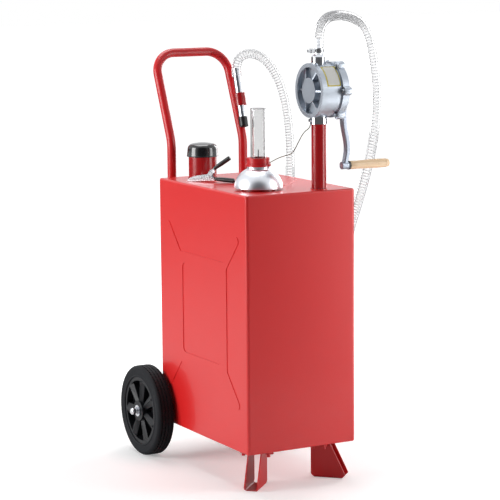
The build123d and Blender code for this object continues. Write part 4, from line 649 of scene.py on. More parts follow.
def closed_mesh(name: str, points: Iterable[Vector], faces: Iterable[Sequence[int]]) -> bpy.types.Object:
    """Makes a mesh object with merged doubles, outward faces and shading that breaks at its edges.

    Args:
        name: The object's name.
        points: The vertices in the shared frame.
        faces: The vertex numbers of each face.

    Returns:
        The object, linked in the scene.
    """
    mesh = bpy.data.meshes.new(name)
    mesh.from_pydata([tuple(point) for point in points], [], [tuple(face) for face in faces])
    shape = bmesh.new()
    shape.from_mesh(mesh)
    bmesh.ops.remove_doubles(shape, verts=shape.verts, dist=MERGE_GAP)
    bmesh.ops.recalc_face_normals(shape, faces=shape.faces)
    shape.to_mesh(mesh)
    shape.free()
    shade(mesh)
    return link(name, mesh)


def band(below: int, above: int, count: int) -> list[tuple[int, ...]]:
    """The faces between two loops of points, from the number of each loop's first point."""
    turns = [(i, (i + 1) % count) for i in range(count)]
    return [(below + i, below + turn, above + turn, above + i) for i, turn in turns]


def directions(across: Vector, up: Vector, count: int) -> list[Vector]:
    """Directions that go once round, from two that are square to each other."""
    angles = [FULL_TURN * i / count for i in range(count)]
    return [across * math.cos(angle) + up * math.sin(angle) for angle in angles]


def lathe(name: str, outline: Sequence[Pair], base: Vector, axis: Vector, sides: int = 96) -> bpy.types.Object:
    """Turns an outline about an axis.

    Args:
        name: The object's name.
        outline: Points (radius, height) in millimetres, closed where the radius isn't zero at both ends.
        base: The place of height zero, in the shared frame.
        axis: The direction of the axis.
        sides: How many sides the turned form has.

    Returns:
        The object, linked in the scene.
    """
    across = axis.orthogonal().normalized()
    ways = directions(across, axis.cross(across), sides)
    points = [base + (way * radius + axis * height) * MM for radius, height in outline for way in ways]
    rows = len(outline)
    bands = rows - 1 if outline[0][0] == 0 and outline[-1][0] == 0 else rows
    faces = [face for row in range(bands) for face in band(row * sides, (row + 1) % rows * sides, sides)]
    piece = closed_mesh(name, points, faces)
    shape = bmesh.new()
    shape.from_mesh(piece.data)
    bmesh.ops.dissolve_degenerate(shape, edges=shape.edges, dist=SLIVER)
    loose = [edge for edge in shape.edges if not edge.link_faces]
    bmesh.ops.delete(shape, geom=loose, context="EDGES")
    shape.to_mesh(piece.data)
    shape.free()
    return piece


def arc(centre: Pair, radius: float, start: float, end: float, steps: int) -> list[Pair]:
    """Points of an arc in an outline, with its angles in degrees from the first axis."""
    angles = [math.radians(start + (end - start) * step / steps) for step in range(steps + 1)]
    return [(centre[0] + radius * math.cos(angle), centre[1] + radius * math.sin(angle)) for angle in angles]


def rectangle(left: float, right: float, low: float, high: float) -> list[Pair]:
    """The corners of a rectangle, in order round it."""
    return [(left, low), (right, low), (right, high), (left, high)]


def lofted(name: str, *skins: Sequence[Sequence[Vector]]) -> bpy.types.Object:
    """Makes one piece of closed skins, each through loops of as many points.

    Args:
        name: The object's name.
        skins: The loops of each skin in order, in metres.

    Returns:
        The object, linked in the scene.
    """
    points, faces = [], []
    for loops in skins:
        first, count = len(points), len(loops[0])
        starts = range(first, first + len(loops) * count, count)
        points += [point for loop in loops for point in loop]
        for below, above in zip(starts, starts[1:]):
            faces += band(below, above, count)
        faces += [range(end, end + count) for end in (starts[0], starts[-1])]
    return closed_mesh(name, points, faces)


# Geometry Nodes

class Recipe:
    """A node tree that makes a mesh, with named inputs for its sizes."""

    def __init__(self, name: str, inputs: dict[str, str]) -> None:
        """Starts the tree.

        Args:
            name: The tree's name.
            inputs: The kind of each input, by its name.
        """
        self.tree = bpy.data.node_groups.new(name, "GeometryNodeTree")
        for title, kind in {**inputs, "Material": "Material"}.items():
            self.tree.interface.new_socket(name=title, in_out="INPUT", socket_type="NodeSocket" + kind)
        self.tree.interface.new_socket(name="Geometry", in_out="OUTPUT", socket_type="NodeSocketGeometry")
        self.wiring = Wiring(self.tree)
        self.inputs = self.tree.nodes.new("NodeGroupInput")

    def take(self, title: str) -> Wire:
        """The wire of an input."""
        return Wire(self.wiring, self.inputs.outputs[title])

    def source(self, title: str) -> Wire:
        """The geometry of the object that is given to an input."""
        return self.wiring.add("GeometryNodeObjectInfo", {}, {"Object": self.take(title)}, "Geometry")

    def close(self, geometry: Wire) -> None:
        """Realizes the copies, sets the material and ends the tree.

        Args:
            geometry: The wire of what the tree made.
        """
        real = self.wiring.add("GeometryNodeRealizeInstances", {}, {"Geometry": geometry})
        done = self.wiring.add("GeometryNodeSetMaterial", {}, {"Geometry": real, "Material": self.take("Material")})
        self.wiring.add("NodeGroupOutput", {}, {"Geometry": done})

    def bake(self, name: str, values: dict[str, object]) -> bpy.types.Object:
        """Runs the tree once and keeps its result as a plain mesh.

        Args:
            name: The name of the piece.
            values: The value of each input, by its name.

        Returns:
            The piece, linked in the scene, with no modifier.
        """
        carrier = link(name + "_recipe", bpy.data.meshes.new(name + "_recipe"))
        modifier = carrier.modifiers.new("recipe", "NODES")
        modifier.node_group = self.tree
        for item in self.tree.interface.items_tree:
            if item.item_type == "SOCKET" and item.in_out == "INPUT":
                modifier[item.identifier] = values[item.name]
        mesh = evaluated(carrier)
        carrier.modifiers.remove(modifier)
        bpy.data.objects.remove(carrier)
        mesh.name = name
        shade(mesh)
        return link(name, mesh)


class RoundCopies(Recipe):
    """Copies of one piece, turned round an axis, such as ribs, spokes, slots and weld ripples."""

    def __init__(self) -> None:
        """Builds the tree."""
        super().__init__("copies_round_an_axis", {
            "Piece": "Object", "Copies": "Int", "Axis": "Vector", "Start": "Float", "Centre": "Vector",
            "Jitter": "Float", "Seed": "Int"})
        wiring = self.wiring
        points = wiring.add("GeometryNodeMeshLine", {}, {"Count": self.take("Copies"), "Offset": (0.0, 0.0, 0.0)})
        index = wiring.add("GeometryNodeInputIndex")
        angle = self.take("Start") + index * FULL_TURN / self.take("Copies")
        turn = wiring.add("FunctionNodeAxisAngleToRotation", {}, {"Axis": self.take("Axis"), "Angle": angle})
        jitter = self.take("Jitter")
        size = wiring.add("FunctionNodeRandomValue", {"data_type": "FLOAT"},
                          {2: 1.0 - jitter, 3: 1.0 + jitter, "Seed": self.take("Seed")}, 1)
        copies = wiring.add("GeometryNodeInstanceOnPoints", {},
                            {"Points": points, "Instance": self.source("Piece"), "Rotation": turn, "Scale": size})
        real = wiring.add("GeometryNodeRealizeInstances", {}, {"Geometry": copies})
        self.close(wiring.add("GeometryNodeTransform", {}, {"Geometry": real, "Translation": self.take("Centre")}))


class WoundWire(Recipe):
    """A wire wound round a path, such as the helix in the hose's wall or a coil spring."""

    def __init__(self) -> None:
        """Builds the tree."""
        super().__init__("wire_wound_round_a_path", {
            "Path": "Object", "Steps": "Int", "Pitch": "Float", "Reach": "Float", "Wire": "Float", "Sides": "Int"})
        wiring = self.wiring
        line = wiring.add("GeometryNodeResampleCurve", {}, {"Curve": self.source("Path"), "Count": self.take("Steps")})
        run = wiring.add("GeometryNodeSplineParameter", output="Length")
        angle = run * FULL_TURN / self.take("Pitch")
        normal, tangent = wiring.add("GeometryNodeInputNormal"), wiring.add("GeometryNodeInputTangent")
        across = wiring.vector("CROSS_PRODUCT", tangent, normal)
        reach = self.take("Reach")
        parts = [wiring.add("ShaderNodeVectorMath", {"operation": "SCALE"}, {0: way, "Scale": reach * share})
                 for way, share in ((normal, angle.apply("COSINE")), (across, angle.apply("SINE")))]
        wound = wiring.add("GeometryNodeSetPosition", {}, {"Geometry": line, "Offset": wiring.vector("ADD", *parts)})
        ring = wiring.add("GeometryNodeCurvePrimitiveCircle", {"mode": "RADIUS"},
                          {"Resolution": self.take("Sides"), "Radius": self.take("Wire")})
        self.close(wiring.add("GeometryNodeCurveToMesh", {},
                              {"Curve": wound, "Profile Curve": ring, "Fill Caps": True}))


# Cords

def cord_line(name: str, route: Sequence[Point], thickness: float = 0.0) -> bpy.types.Object:
    """Makes one smooth open line that a cord follows.

    Args:
        name: The curve's name.
        route: Its corners in millimetres from the middle of the tank's underside.
        thickness: The radius of its round section in metres, or zero for the bare line.

    Returns:
        The curve object with one open spline.
    """
    data = bpy.data.curves.new(name, "CURVE")
    data.dimensions = "3D"
    data.resolution_u, data.render_resolution_u = 8, 8
    data.bevel_depth, data.bevel_resolution, data.use_fill_caps = thickness, 3, thickness > 0
    spline = data.splines.new("NURBS")
    spline.points.add(len(route) - 1)
    for point, corner in zip(spline.points, route):
        point.co = (*at(*corner), 1.0)
    spline.order_u = 3
    spline.use_endpoint_u = True
    return link(name, data)


def line_points(curve: bpy.types.Object) -> list[Vector]:
    """The points of a bare curve.

    Args:
        curve: The curve object.

    Returns:
        Its points in order.
    """
    mesh = evaluated(curve)
    points = [vertex.co.copy() for vertex in mesh.vertices]
    bpy.data.meshes.remove(mesh)
    return points


def tube_along(name: str, points: Sequence[Vector], outer: float, inner: float, sides: int = 24) -> bpy.types.Object:
    """A tube with a wall, along a row of points.

    Args:
        name: The object's name.
        points: The places along its centre line, in the shared frame.
        outer: Its outer radius in metres.
        inner: The radius of its bore in metres.
        sides: How many sides it has.

    Returns:
        The object, linked in the scene.
    """
    tangents = [(points[min(i + 1, len(points) - 1)] - points[max(i - 1, 0)]).normalized() for i in range(len(points))]
    across = tangents[0].orthogonal().normalized()
    vertices = []
    for point, tangent in zip(points, tangents):
        across = (across - tangent * across.dot(tangent)).normalized()
        ways = directions(across, tangent.cross(across), sides)
        vertices += [point + way * radius for radius in (outer, inner) for way in ways]
    ring, last = 2 * sides, 2 * sides * (len(points) - 1)
    faces = []
    for start in range(0, last, ring):
        faces += band(start, start + ring, sides) + band(start + ring + sides, start + sides, sides)
    faces += band(sides, 0, sides) + band(last, last + sides, sides)
    return closed_mesh(name, vertices, faces)


# Workshop

class Workshop:
    """Holds the materials and the recipes, makes what repeats, and dresses and delivers the pieces."""

    def __init__(self) -> None:
        """Mixes every finish once and builds both recipes."""
        self.materials = {slot: finish.material(slot.value) for slot, finish in FINISHES.items()}
        self.own = {name: finish.material(name + "_finish") for name, finish in NODE_FINISHES.items()}
        self.copier, self.winder = RoundCopies(), WoundWire()

    def dress_nodes(self) -> None:
        """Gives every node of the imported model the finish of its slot."""
        for row in frame["record"]["subparts"]:
            node = frame["nodes"][row["node"]]
            material = self.own.get(row["node"], self.materials[Slot(row["material_slot"])])
            if not node.material_slots:
                node.data.materials.append(material)
            for material_slot in node.material_slots:
                material_slot.material = material

    def deliver(self, piece: bpy.types.Object, slot: Slot, body: Body, *stands_for: str,
                finish: Finish | None = None) -> None:
        """Finishes a piece and sets it on its body.

        Args:
            piece: The new object, in place in the shared frame.
            slot: Its slot.
            body: The body that it rides on.
            stands_for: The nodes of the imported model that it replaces.
            finish: A finish of its own, where it isn't the slot's.
        """
        if not piece.data.materials:
            piece.data.materials.append(finish.material(piece.name) if finish else self.materials[slot])
        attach(piece, body.value)
        if stands_for:
            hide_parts(*stands_for)
        log.info("%s rides on %s in %s", piece.name, body.value, slot.value)

    def ring(self, pattern: bpy.types.Object, slot: Slot, body: Body, name: str, copies: int, axis: Vector,
             centre: Vector, start: float = 0.0, jitter: float = 0.0) -> None:
        """Copies a pattern round an axis and delivers the copies as one piece.

        Args:
            pattern: The pattern piece, modelled about the origin as the centre, which is used up.
            slot: The copies' slot.
            body: The body that they ride on.
            name: The name of the result.
            copies: How many copies go round.
            axis: The axis that they go round.
            centre: The centre in the shared frame.
            start: The angle of the first copy in degrees.
            jitter: How much the copies differ in size, as a share.
        """
        result = self.copier.bake(name, {
            "Piece": pattern, "Copies": copies, "Axis": axis, "Start": math.radians(start), "Centre": centre,
            "Jitter": jitter, "Seed": COPY_SEED, "Material": self.materials[slot]})
        bpy.data.objects.remove(pattern)
        self.deliver(result, slot, body)

    def wind(self, line: bpy.types.Object, name: str, steps: int, sides: int, pitch: float, reach: float,
             wire: float, material: bpy.types.Material) -> bpy.types.Object:
        """Winds a wire round a bare line.

        Args:
            line: The line, which is used up.
            name: The name of the result.
            steps: How many points the wire has.
            sides: How many sides the wire has.
            pitch: The distance from turn to turn, in millimetres.
            reach: The radius of the turns, in millimetres.
            wire: The radius of the wire, in millimetres.
            material: Its finish.

        Returns:
            The wound wire.
        """
        result = self.winder.bake(name, {
            "Path": line, "Steps": steps, "Sides": sides, "Pitch": pitch * MM, "Reach": reach * MM,
            "Wire": wire * MM, "Material": material})
        bpy.data.objects.remove(line)
        return result


# Sub-assemblies

@dataclass(frozen=True)
class ClipPlace:
    """The plane that the clip lies in, on the tank's top: along it from its tips, and up."""

    tip: Point = (-135.0, 139.0, 700.0)
    heading: float = -54.2

    def way(self) -> Vector:
        """The direction along the clip."""
        heading = math.radians(self.heading)
        return Vector((math.cos(heading), math.sin(heading), 0.0))

    def across(self) -> Vector:
        """The direction across the clip."""
        return self.way().cross(Z_AXIS)

    def spot(self, along: float, up: float, across: float = 0.0) -> Vector:
        """A point of the clip in millimetres from the middle of the tank's underside."""
        return Vector(self.tip) + self.way() * along + Z_AXIS * up + self.across() * across


@dataclass
class SubAssembly:
    """A group of pieces that the workshop makes and dresses."""

    shop: Workshop


@dataclass
class Hose(SubAssembly):
    """The clear hose with a wire helix in its wall, from the pump's outlet round the caddy to the nozzle."""

    radius: float = 13.5
    bore: float = 9.4
    helix_reach: float = 11.6
    helix_pitch: float = 8.4
    helix_wire: float = 0.6
    steps_a_turn: int = 12
    wire_sides: int = 5
    length: float = 2.21
    nozzle_top: Point = (112.5, 302.81, 974.11)
    lean: float = 16.0
    end_run: float = 46.0
    route: Sequence[Point] = (
        (72, -228, 1063), (72, -228, 1110), (83, -220, 1137), (116, -196, 1157), (160, -164, 1162),
        (210, -129, 1160), (264, -91, 1152), (312, -66, 1132), (333, -66, 1092), (336, -76, 1052),
        (335.5, -92, 1000), (334.5, -102, 944), (331.5, -106, 886), (325.5, -105, 826), (316.5, -99, 765),
        (307, -86, 703), (299, -66, 638), (296, -32, 570), (295, -4, 498), (293, 25, 426), (291, 62, 360),
        (288, 118, 316), (285, 184, 312), (282, 240, 350), (280, 270, 414), (279, 282, 486),
        (279, 286.5, 560), (280, 288, 634), (281, 288.5, 708), (280.5, 290.5, 780), (275, 293, 850),
        (262, 295, 918), (238, 298, 980), (200, 303, 1028), (152, 309, 1044))

    def whole_route(self) -> list[Point]:
        """The corners, with the straight run that leads down into the nozzle.

        Returns:
            All corners in millimetres.
        """
        x, y, z = self.nozzle_top
        lean = math.radians(self.lean)
        before = (x, y + self.end_run * math.sin(lean), z + self.end_run * math.cos(lean))
        return [*self.route, before, self.nozzle_top]

    def build(self) -> None:
        line = cord_line("hose_line", self.whole_route())
        points = line_points(line)
        wall = tube_along("clear_hose", points, self.radius * MM, self.bore * MM)
        run = sum((after - before).length for before, after in zip(points, points[1:]))
        steps = int(run / (self.helix_pitch * MM) * self.steps_a_turn)
        helix = self.shop.wind(line, "hose_helix", steps, self.wire_sides, self.helix_pitch, self.helix_reach,
                               self.helix_wire, HELIX_FINISH.material("helix_wire"))
        self.shop.deliver(wall, Slot.CLEAR_HOSE, Body.CADDY, "hose")
        self.shop.deliver(helix, Slot.PLATED_STEEL, Body.CADDY)
        2 * self.radius * MM


@dataclass
class EarthingLead(SubAssembly):
    """The thin lead from the sleeve under the pump down to the clip on the tank."""

    clip: ClipPlace = ClipPlace()
    radius: float = 1.25
    length: float = 0.3344
    route: Sequence[Point] = (
        (45.5, -228, 876), (45.5, -228, 868), (33.3, -215, 855.8), (27.5, -197, 828.9), (26.1, -168, 794.2),
        (19, -138, 786.1), (13.2, -112, 778.5), (4.5, -88, 766.2), (-12, -66, 752), (-21, -41, 734),
        (-31, -14, 716))
    sleeve_near: Pair = (85.8, 8.12)
    sleeve_far: Pair = (141.9, 5.18)
    overhang: float = 2.0
    end_run: float = 20.0

    def build(self) -> None:
        near, far = self.clip.spot(*self.sleeve_near), self.clip.spot(*self.sleeve_far)
        along = (far - near).normalized()
        end = far + along * self.overhang
        route = [*self.route, tuple(end + along * self.end_run), tuple(end)]
        lead = cord_line("earthing_lead", route, self.radius * MM)
        self.shop.deliver(lead, Slot.LEAD_SHEATH, Body.CADDY, "ground_wire")
        2 * self.radius * MM


@dataclass
class Wheel(SubAssembly):
    """One wheel: the ribs that cross its tread's grooves, and the creased faces of its spokes."""

    side: str
    body: Body
    middle: float
    rib_count: int = 72
    rib_half_length: float = 18.5
    rib_half_thickness: float = 1.6
    rib_reach: Pair = (126.6, 129.5)
    spoke_count: int = 7
    spoke_start: float = 97.0
    spoke_face: float = 19.0
    spoke_sink: float = 0.5
    crease_rise: float = 6.5
    spoke_run: Pair = (27.0, 88.0)
    spoke_half_widths: Pair = (9.2, 16.4)

    def rib(self) -> bpy.types.Object:
        """One of the fine ribs across the grooves of the tread.

        Returns:
            The pattern piece.
        """
        length, thickness = self.rib_half_length, self.rib_half_thickness
        ring = rectangle(-length, length, -thickness, thickness)
        return lofted("tread_rib", [[Vector((x, y, z)) * MM for x, y in ring] for z in self.rib_reach])

    def spoke_face_pair(self) -> bpy.types.Object:
        """The faces of one spoke, creased along their middles, on both sides of the wheel.

        Returns:
            The pattern piece.
        """
        skins = []
        for side in (-1.0, 1.0):
            base, ridge = side * (self.spoke_face - self.spoke_sink), side * (self.spoke_face + self.crease_rise)
            skins.append([[Vector(point) * MM for point in ((base, run, -half), (base, run, half), (ridge, run, 0.0))]
                          for run, half in zip(self.spoke_run, self.spoke_half_widths)])
        return lofted("spoke_face", *skins)

    def build(self) -> None:
        """Makes and dresses the wheel's details."""
        centre = at(self.middle, *AXLE)
        self.shop.ring(self.rib(), Slot.TYRE_RUBBER, self.body, f"tread_ribs_{self.side}", self.rib_count,
                       X_AXIS, centre)
        self.shop.ring(self.spoke_face_pair(), Slot.WHEEL_PLASTIC, self.body, f"spoke_faces_{self.side}",
                       self.spoke_count, X_AXIS, centre, self.spoke_start)


@dataclass
class FillerCap(SubAssembly):
    """The domed black cap on the filler neck, with its flared rim."""

    foot: float = 761.5
    bore: float = 40.0
    seat: float = 25.0
    rim: float = 45.2
    rim_roll: float = 1.3
    waist: float = 43.6
    flare: tuple[Pair, ...] = ((0.35, 4.4), (0.0, 7.0), (-0.6, 14.0))
    shoulder: Pair = (28.0, 22.0)
    rounding: float = 14.3
    rounding_end: float = 68.0
    crown_steps: int = 14
    height: float = 39.5

    def build(self) -> None:
        """Turns the cap."""
        roll = arc((self.rim - self.rim_roll, self.rim_roll), self.rim_roll, -90.0, 45.0, 6)
        flare = [(self.waist + out, rise) for out, rise in self.flare]
        rounded = arc(self.shoulder, self.rounding, 0.0, self.rounding_end, 18)
        edge, start = rounded[-1]
        shares = [step / self.crown_steps for step in range(1, self.crown_steps + 1)]
        crown = [(edge * (1 - share), start + (self.height - start) * (1 - (1 - share) ** 2)) for share in shares]
        outline = [(0.0, self.seat), (self.bore, self.seat), (self.bore, 0.0), *roll, *flare, *rounded, *crown]
        cap = lathe("domed_cap", outline, at(*NECK, self.foot), Z_AXIS)
        self.shop.deliver(cap, Slot.CAP_PLASTIC, Body.CAP, "filler_cap")


@dataclass
class LevelGauge(SubAssembly):
    """The bright dome and the clear tube of the level gauge."""

    place: Pair = (-65.0, -140.0)
    dome_foot: float = 706.0
    dome_reach: Pair = (65.5, 57.0)
    dome_wall: float = 2.0
    dome_top: float = 31.5
    dome_turn: float = 59.0
    dome_height: float = 57.43
    neck_steps: tuple[Pair, ...] = ((1.2, 0.5), (0.0, 2.0))
    rim_turn: float = 3.0
    rim_bore: float = 45.0
    bore: float = 4.0
    tube_foot: float = 769.43
    tube_radius: float = 21.0
    tube_wall: float = 2.0
    tube_rounding: float = 1.5
    tube_length: float = 150.0

    def oval(self, inset: float, start: float, end: float, steps: int) -> list[Pair]:
        """Points of an oval arc inside the dome's outline, with its angles in degrees."""
        reach, rise = self.dome_reach
        return [(x * (reach - inset), y * (rise - inset)) for x, y in arc((0.0, 0.0), 1.0, start, end, steps)]

    def dome(self) -> bpy.types.Object:
        """The spun dome, with its turned-in rim and its short neck under the collar.

        Returns:
            The object.
        """
        wall, ceiling = self.dome_wall, self.dome_height - self.dome_wall
        outside = self.oval(0.0, 0.0, self.dome_turn, 40)
        neck = [(self.dome_top + out, outside[-1][1] + rise) for out, rise in self.neck_steps]
        inside = self.oval(wall, self.dome_turn, self.rim_turn, 30)
        outline = [*outside, *neck, (self.dome_top, self.dome_height), (self.bore, self.dome_height),
                   (self.bore, ceiling), (inside[0][0] - wall, ceiling), *inside,
                   (self.rim_bore, wall), (self.rim_bore, 0.0)]
        return lathe("spun_dome", outline, at(*self.place, self.dome_foot), Z_AXIS, 128)

    def tube(self) -> bpy.types.Object:
        """The clear tube, closed at its top with a round edge.

        Returns:
            The object.
        """
        outer, length, soft = self.tube_radius, self.tube_length, self.tube_rounding
        inner, floor = outer - self.tube_wall, length - self.tube_wall
        outline = [(inner, 0.0), (outer, 0.0), *arc((outer - soft, length - soft), soft, 0.0, 90.0, 5),
                   (0.0, length), (0.0, floor), *arc((inner - soft, floor - soft), soft, 90.0, 0.0, 5)]
        return lathe("clear_tube", outline, at(*self.place, self.tube_foot), Z_AXIS)

    def build(self) -> None:
        """Makes and dresses the gauge's bright and clear pieces."""
        self.shop.deliver(self.dome(), Slot.CHROME, Body.CADDY, "gauge_dome", finish=DOME_FINISH)
        self.shop.deliver(self.tube(), Slot.CLEAR_PLASTIC, Body.CADDY, "gauge_tube")


@dataclass
class CrankGrip(SubAssembly):
    """The turned wooden grip with its grooves and the recess for the spindle's head."""

    start: Point = (167.8, -228.0, 760.0)
    length: float = 124.0
    shares: tuple[float, ...] = (0.0, 0.02, 0.05, 0.2, 0.5, 0.72, 0.92, 0.98, 1.0)
    radii: tuple[float, ...] = (10.6, 11.6, 12.0, 11.6, 12.2, 12.6, 12.3, 11.2, 9.8)
    bore: float = 4.05
    recess: float = 6.8
    recess_depth: float = 6.0
    groove_shares: tuple[float, ...] = (0.07, 0.11, 0.68, 0.72, 0.89)
    groove_depth: float = 0.7
    groove_half: float = 1.3
    step: float = 0.8

    def radius(self, along: float) -> float:
        """The radius of the turned outline, grooves included.

        Args:
            along: The distance from the inner end in millimetres.

        Returns:
            The radius in millimetres.
        """
        share = along / self.length
        places = list(zip(self.shares, self.radii))
        plain = self.radii[-1]
        for (before, low), (after, high) in zip(places, places[1:]):
            if before <= share <= after:
                way = (share - before) / (after - before)
                plain = low + (high - low) * way * way * (3 - 2 * way)
                break
        cuts = [max(0.0, 1 - abs(along - self.length * groove) / self.groove_half) for groove in self.groove_shares]
        return plain - self.groove_depth * max(cuts)

    def build(self) -> None:
        """Turns the grip."""
        count = int(self.length / self.step)
        profile = [(self.radius(self.length * i / count), self.length * i / count) for i in range(count + 1)]
        seat = self.length - self.recess_depth
        outline = [(self.bore, 0.0), *profile, (self.recess, self.length), (self.recess, seat), (self.bore, seat)]
        grip = lathe("turned_grip", outline, at(*self.start), X_AXIS, 64)
        self.shop.deliver(grip, Slot.GRIP_WOOD, Body.GRIP, "grip")


@dataclass
class HoseClamp(SubAssembly):
    """Painted shade in the slots of the worm-drive band on the pump's outlet: thin dark chips where the openings show
    shade.
    """

    middle: float = 1072.0
    band_reach: Pair = (14.6, 14.82)
    slot_count: int = 20
    slot_start: float = 9.0
    slot_half_width: float = 0.8
    slot_half_height: float = 3.6
    slant: float = 1.1

    def build(self) -> None:
        """Makes and dresses the dark chips of painted shade in the slots."""
        ring = rectangle(*self.band_reach, -self.slot_half_width, self.slot_half_width)
        loops = [[Vector((x, end * self.slant + y, end * self.slot_half_height)) * MM for x, y in ring]
                 for end in (-1.0, 1.0)]
        # Painted shade: dark plastic chips stand in the band's slots, where the openings would be dark.
        self.shop.ring(lofted("band_slot", loops), Slot.BLACK_PLASTIC, Body.CADDY, "band_slots", self.slot_count,
                       Z_AXIS, at(*PORT, self.middle), self.slot_start)


@dataclass
class PumpTrim(SubAssembly):
    """The round bosses of the pump's flange bolts, and the blank plate on its drum."""

    bolt_circle: float = 76.0
    boss_count: int = 6
    boss_radius: float = 11.6
    boss_rounding: float = 1.4
    boss_half: float = 10.4
    boss_middle: float = 114.0
    drum_radius: float = 70.0
    plate_run: Pair = (58.5, 100.5)
    plate_turn: Pair = (115.0, 169.0)
    plate_corner: float = 3.0
    plate_corner_gap: float = 0.02
    plate_rim: float = 3.4
    plate_steps: int = 28

    def boss(self) -> bpy.types.Object:
        """One boss of the flange.

        Returns:
            The pattern piece.
        """
        half, soft, reach = self.boss_half, self.boss_rounding, self.boss_radius
        outline = [(0.0, -half), *arc((reach - soft, soft - half), soft, -90.0, 0.0, 4),
                   *arc((reach - soft, half - soft), soft, 0.0, 90.0, 4), (0.0, half)]
        return lathe("bolt_boss", outline, Vector((0.0, -self.bolt_circle, 0.0)) * MM, X_AXIS, 32)

    def plate(self, name: str, inset: float, low: float, high: float, finish: Finish) -> None:
        """A thin blank plate with round corners, bent round the drum.

        Args:
            name: The piece's name.
            inset: How far its edges lie inside the place of the plate, in millimetres.
            low: Its underside above the drum.
            high: Its face above the drum.
            finish: Its finish.
        """
        start, end = (math.radians(turn) * self.drum_radius for turn in self.plate_turn)
        start, end = start + inset, end - inset
        corner, loops = self.plate_corner, []
        y, z = PUMP_AXIS
        for step in range(self.plate_steps + 1):
            way = start + (end - start) * (1 - math.cos(math.pi * step / self.plate_steps)) / 2
            from_end = min(way - start, end - way, corner)
            round_off = corner - math.sqrt(max(0.0, corner ** 2 - (corner - from_end) ** 2)) + self.plate_corner_gap
            left, right = self.plate_run[0] + inset + round_off, self.plate_run[1] - inset - round_off
            angle = way / self.drum_radius
            places = [(x, self.drum_radius + lift) for x, lift in rectangle(left, right, low, high)]
            loops.append([at(x, y + reach * math.cos(angle), z + reach * math.sin(angle)) for x, reach in places])
        self.shop.deliver(lofted(name, loops), Slot.PALE_PLASTIC, Body.CADDY, finish=finish)

    def build(self) -> None:
        """Makes and dresses the bosses and the plate."""
        self.shop.ring(self.boss(), Slot.CAST_ALLOY, Body.CADDY, "flange_bosses", self.boss_count, X_AXIS,
                       at(self.boss_middle, *PUMP_AXIS))
        self.plate("blank_plate_rim", 0.0, 0.02, 0.25, PLATE_RIM_FINISH)
        self.plate("blank_plate", self.plate_rim, 0.2, 0.4, PLATE_FINISH)


@dataclass
class WeldBeads(SubAssembly):
    """The rippled weld beads round the riser and the filler neck."""

    rings: tuple[tuple[str, Point, float, int], ...] = (
        ("riser_weld", (*PORT, 703.0), 21.4, 54),
        ("neck_weld", (*NECK, 700.4), 40.2, 96),
    )
    ripple_radius: float = 1.7
    ripple_rise: float = 1.1
    jitter: float = 0.012

    def ripple(self, reach: float) -> bpy.types.Object:
        """One flattened lump of a bead.

        Args:
            reach: How far it lies from the pipe's axis, in millimetres.

        Returns:
            The pattern piece.
        """
        upper = [(self.ripple_radius * math.cos(a), self.ripple_rise * math.sin(a))
                 for a in (math.pi / 2 * s / 4 for s in range(4))]
        outline = [(0.0, -self.ripple_rise), *upper, (0.0, self.ripple_rise)]
        return lathe("ripple", outline, X_AXIS * reach * MM, Z_AXIS, 10)

    def build(self) -> None:
        """Lays the ripples round each pipe."""
        for name, centre, reach, count in self.rings:
            self.shop.ring(self.ripple(reach), Slot.SHADED_TUBE_PAINT, Body.CADDY, name, count, Z_AXIS, at(*centre),
                           jitter=self.jitter)


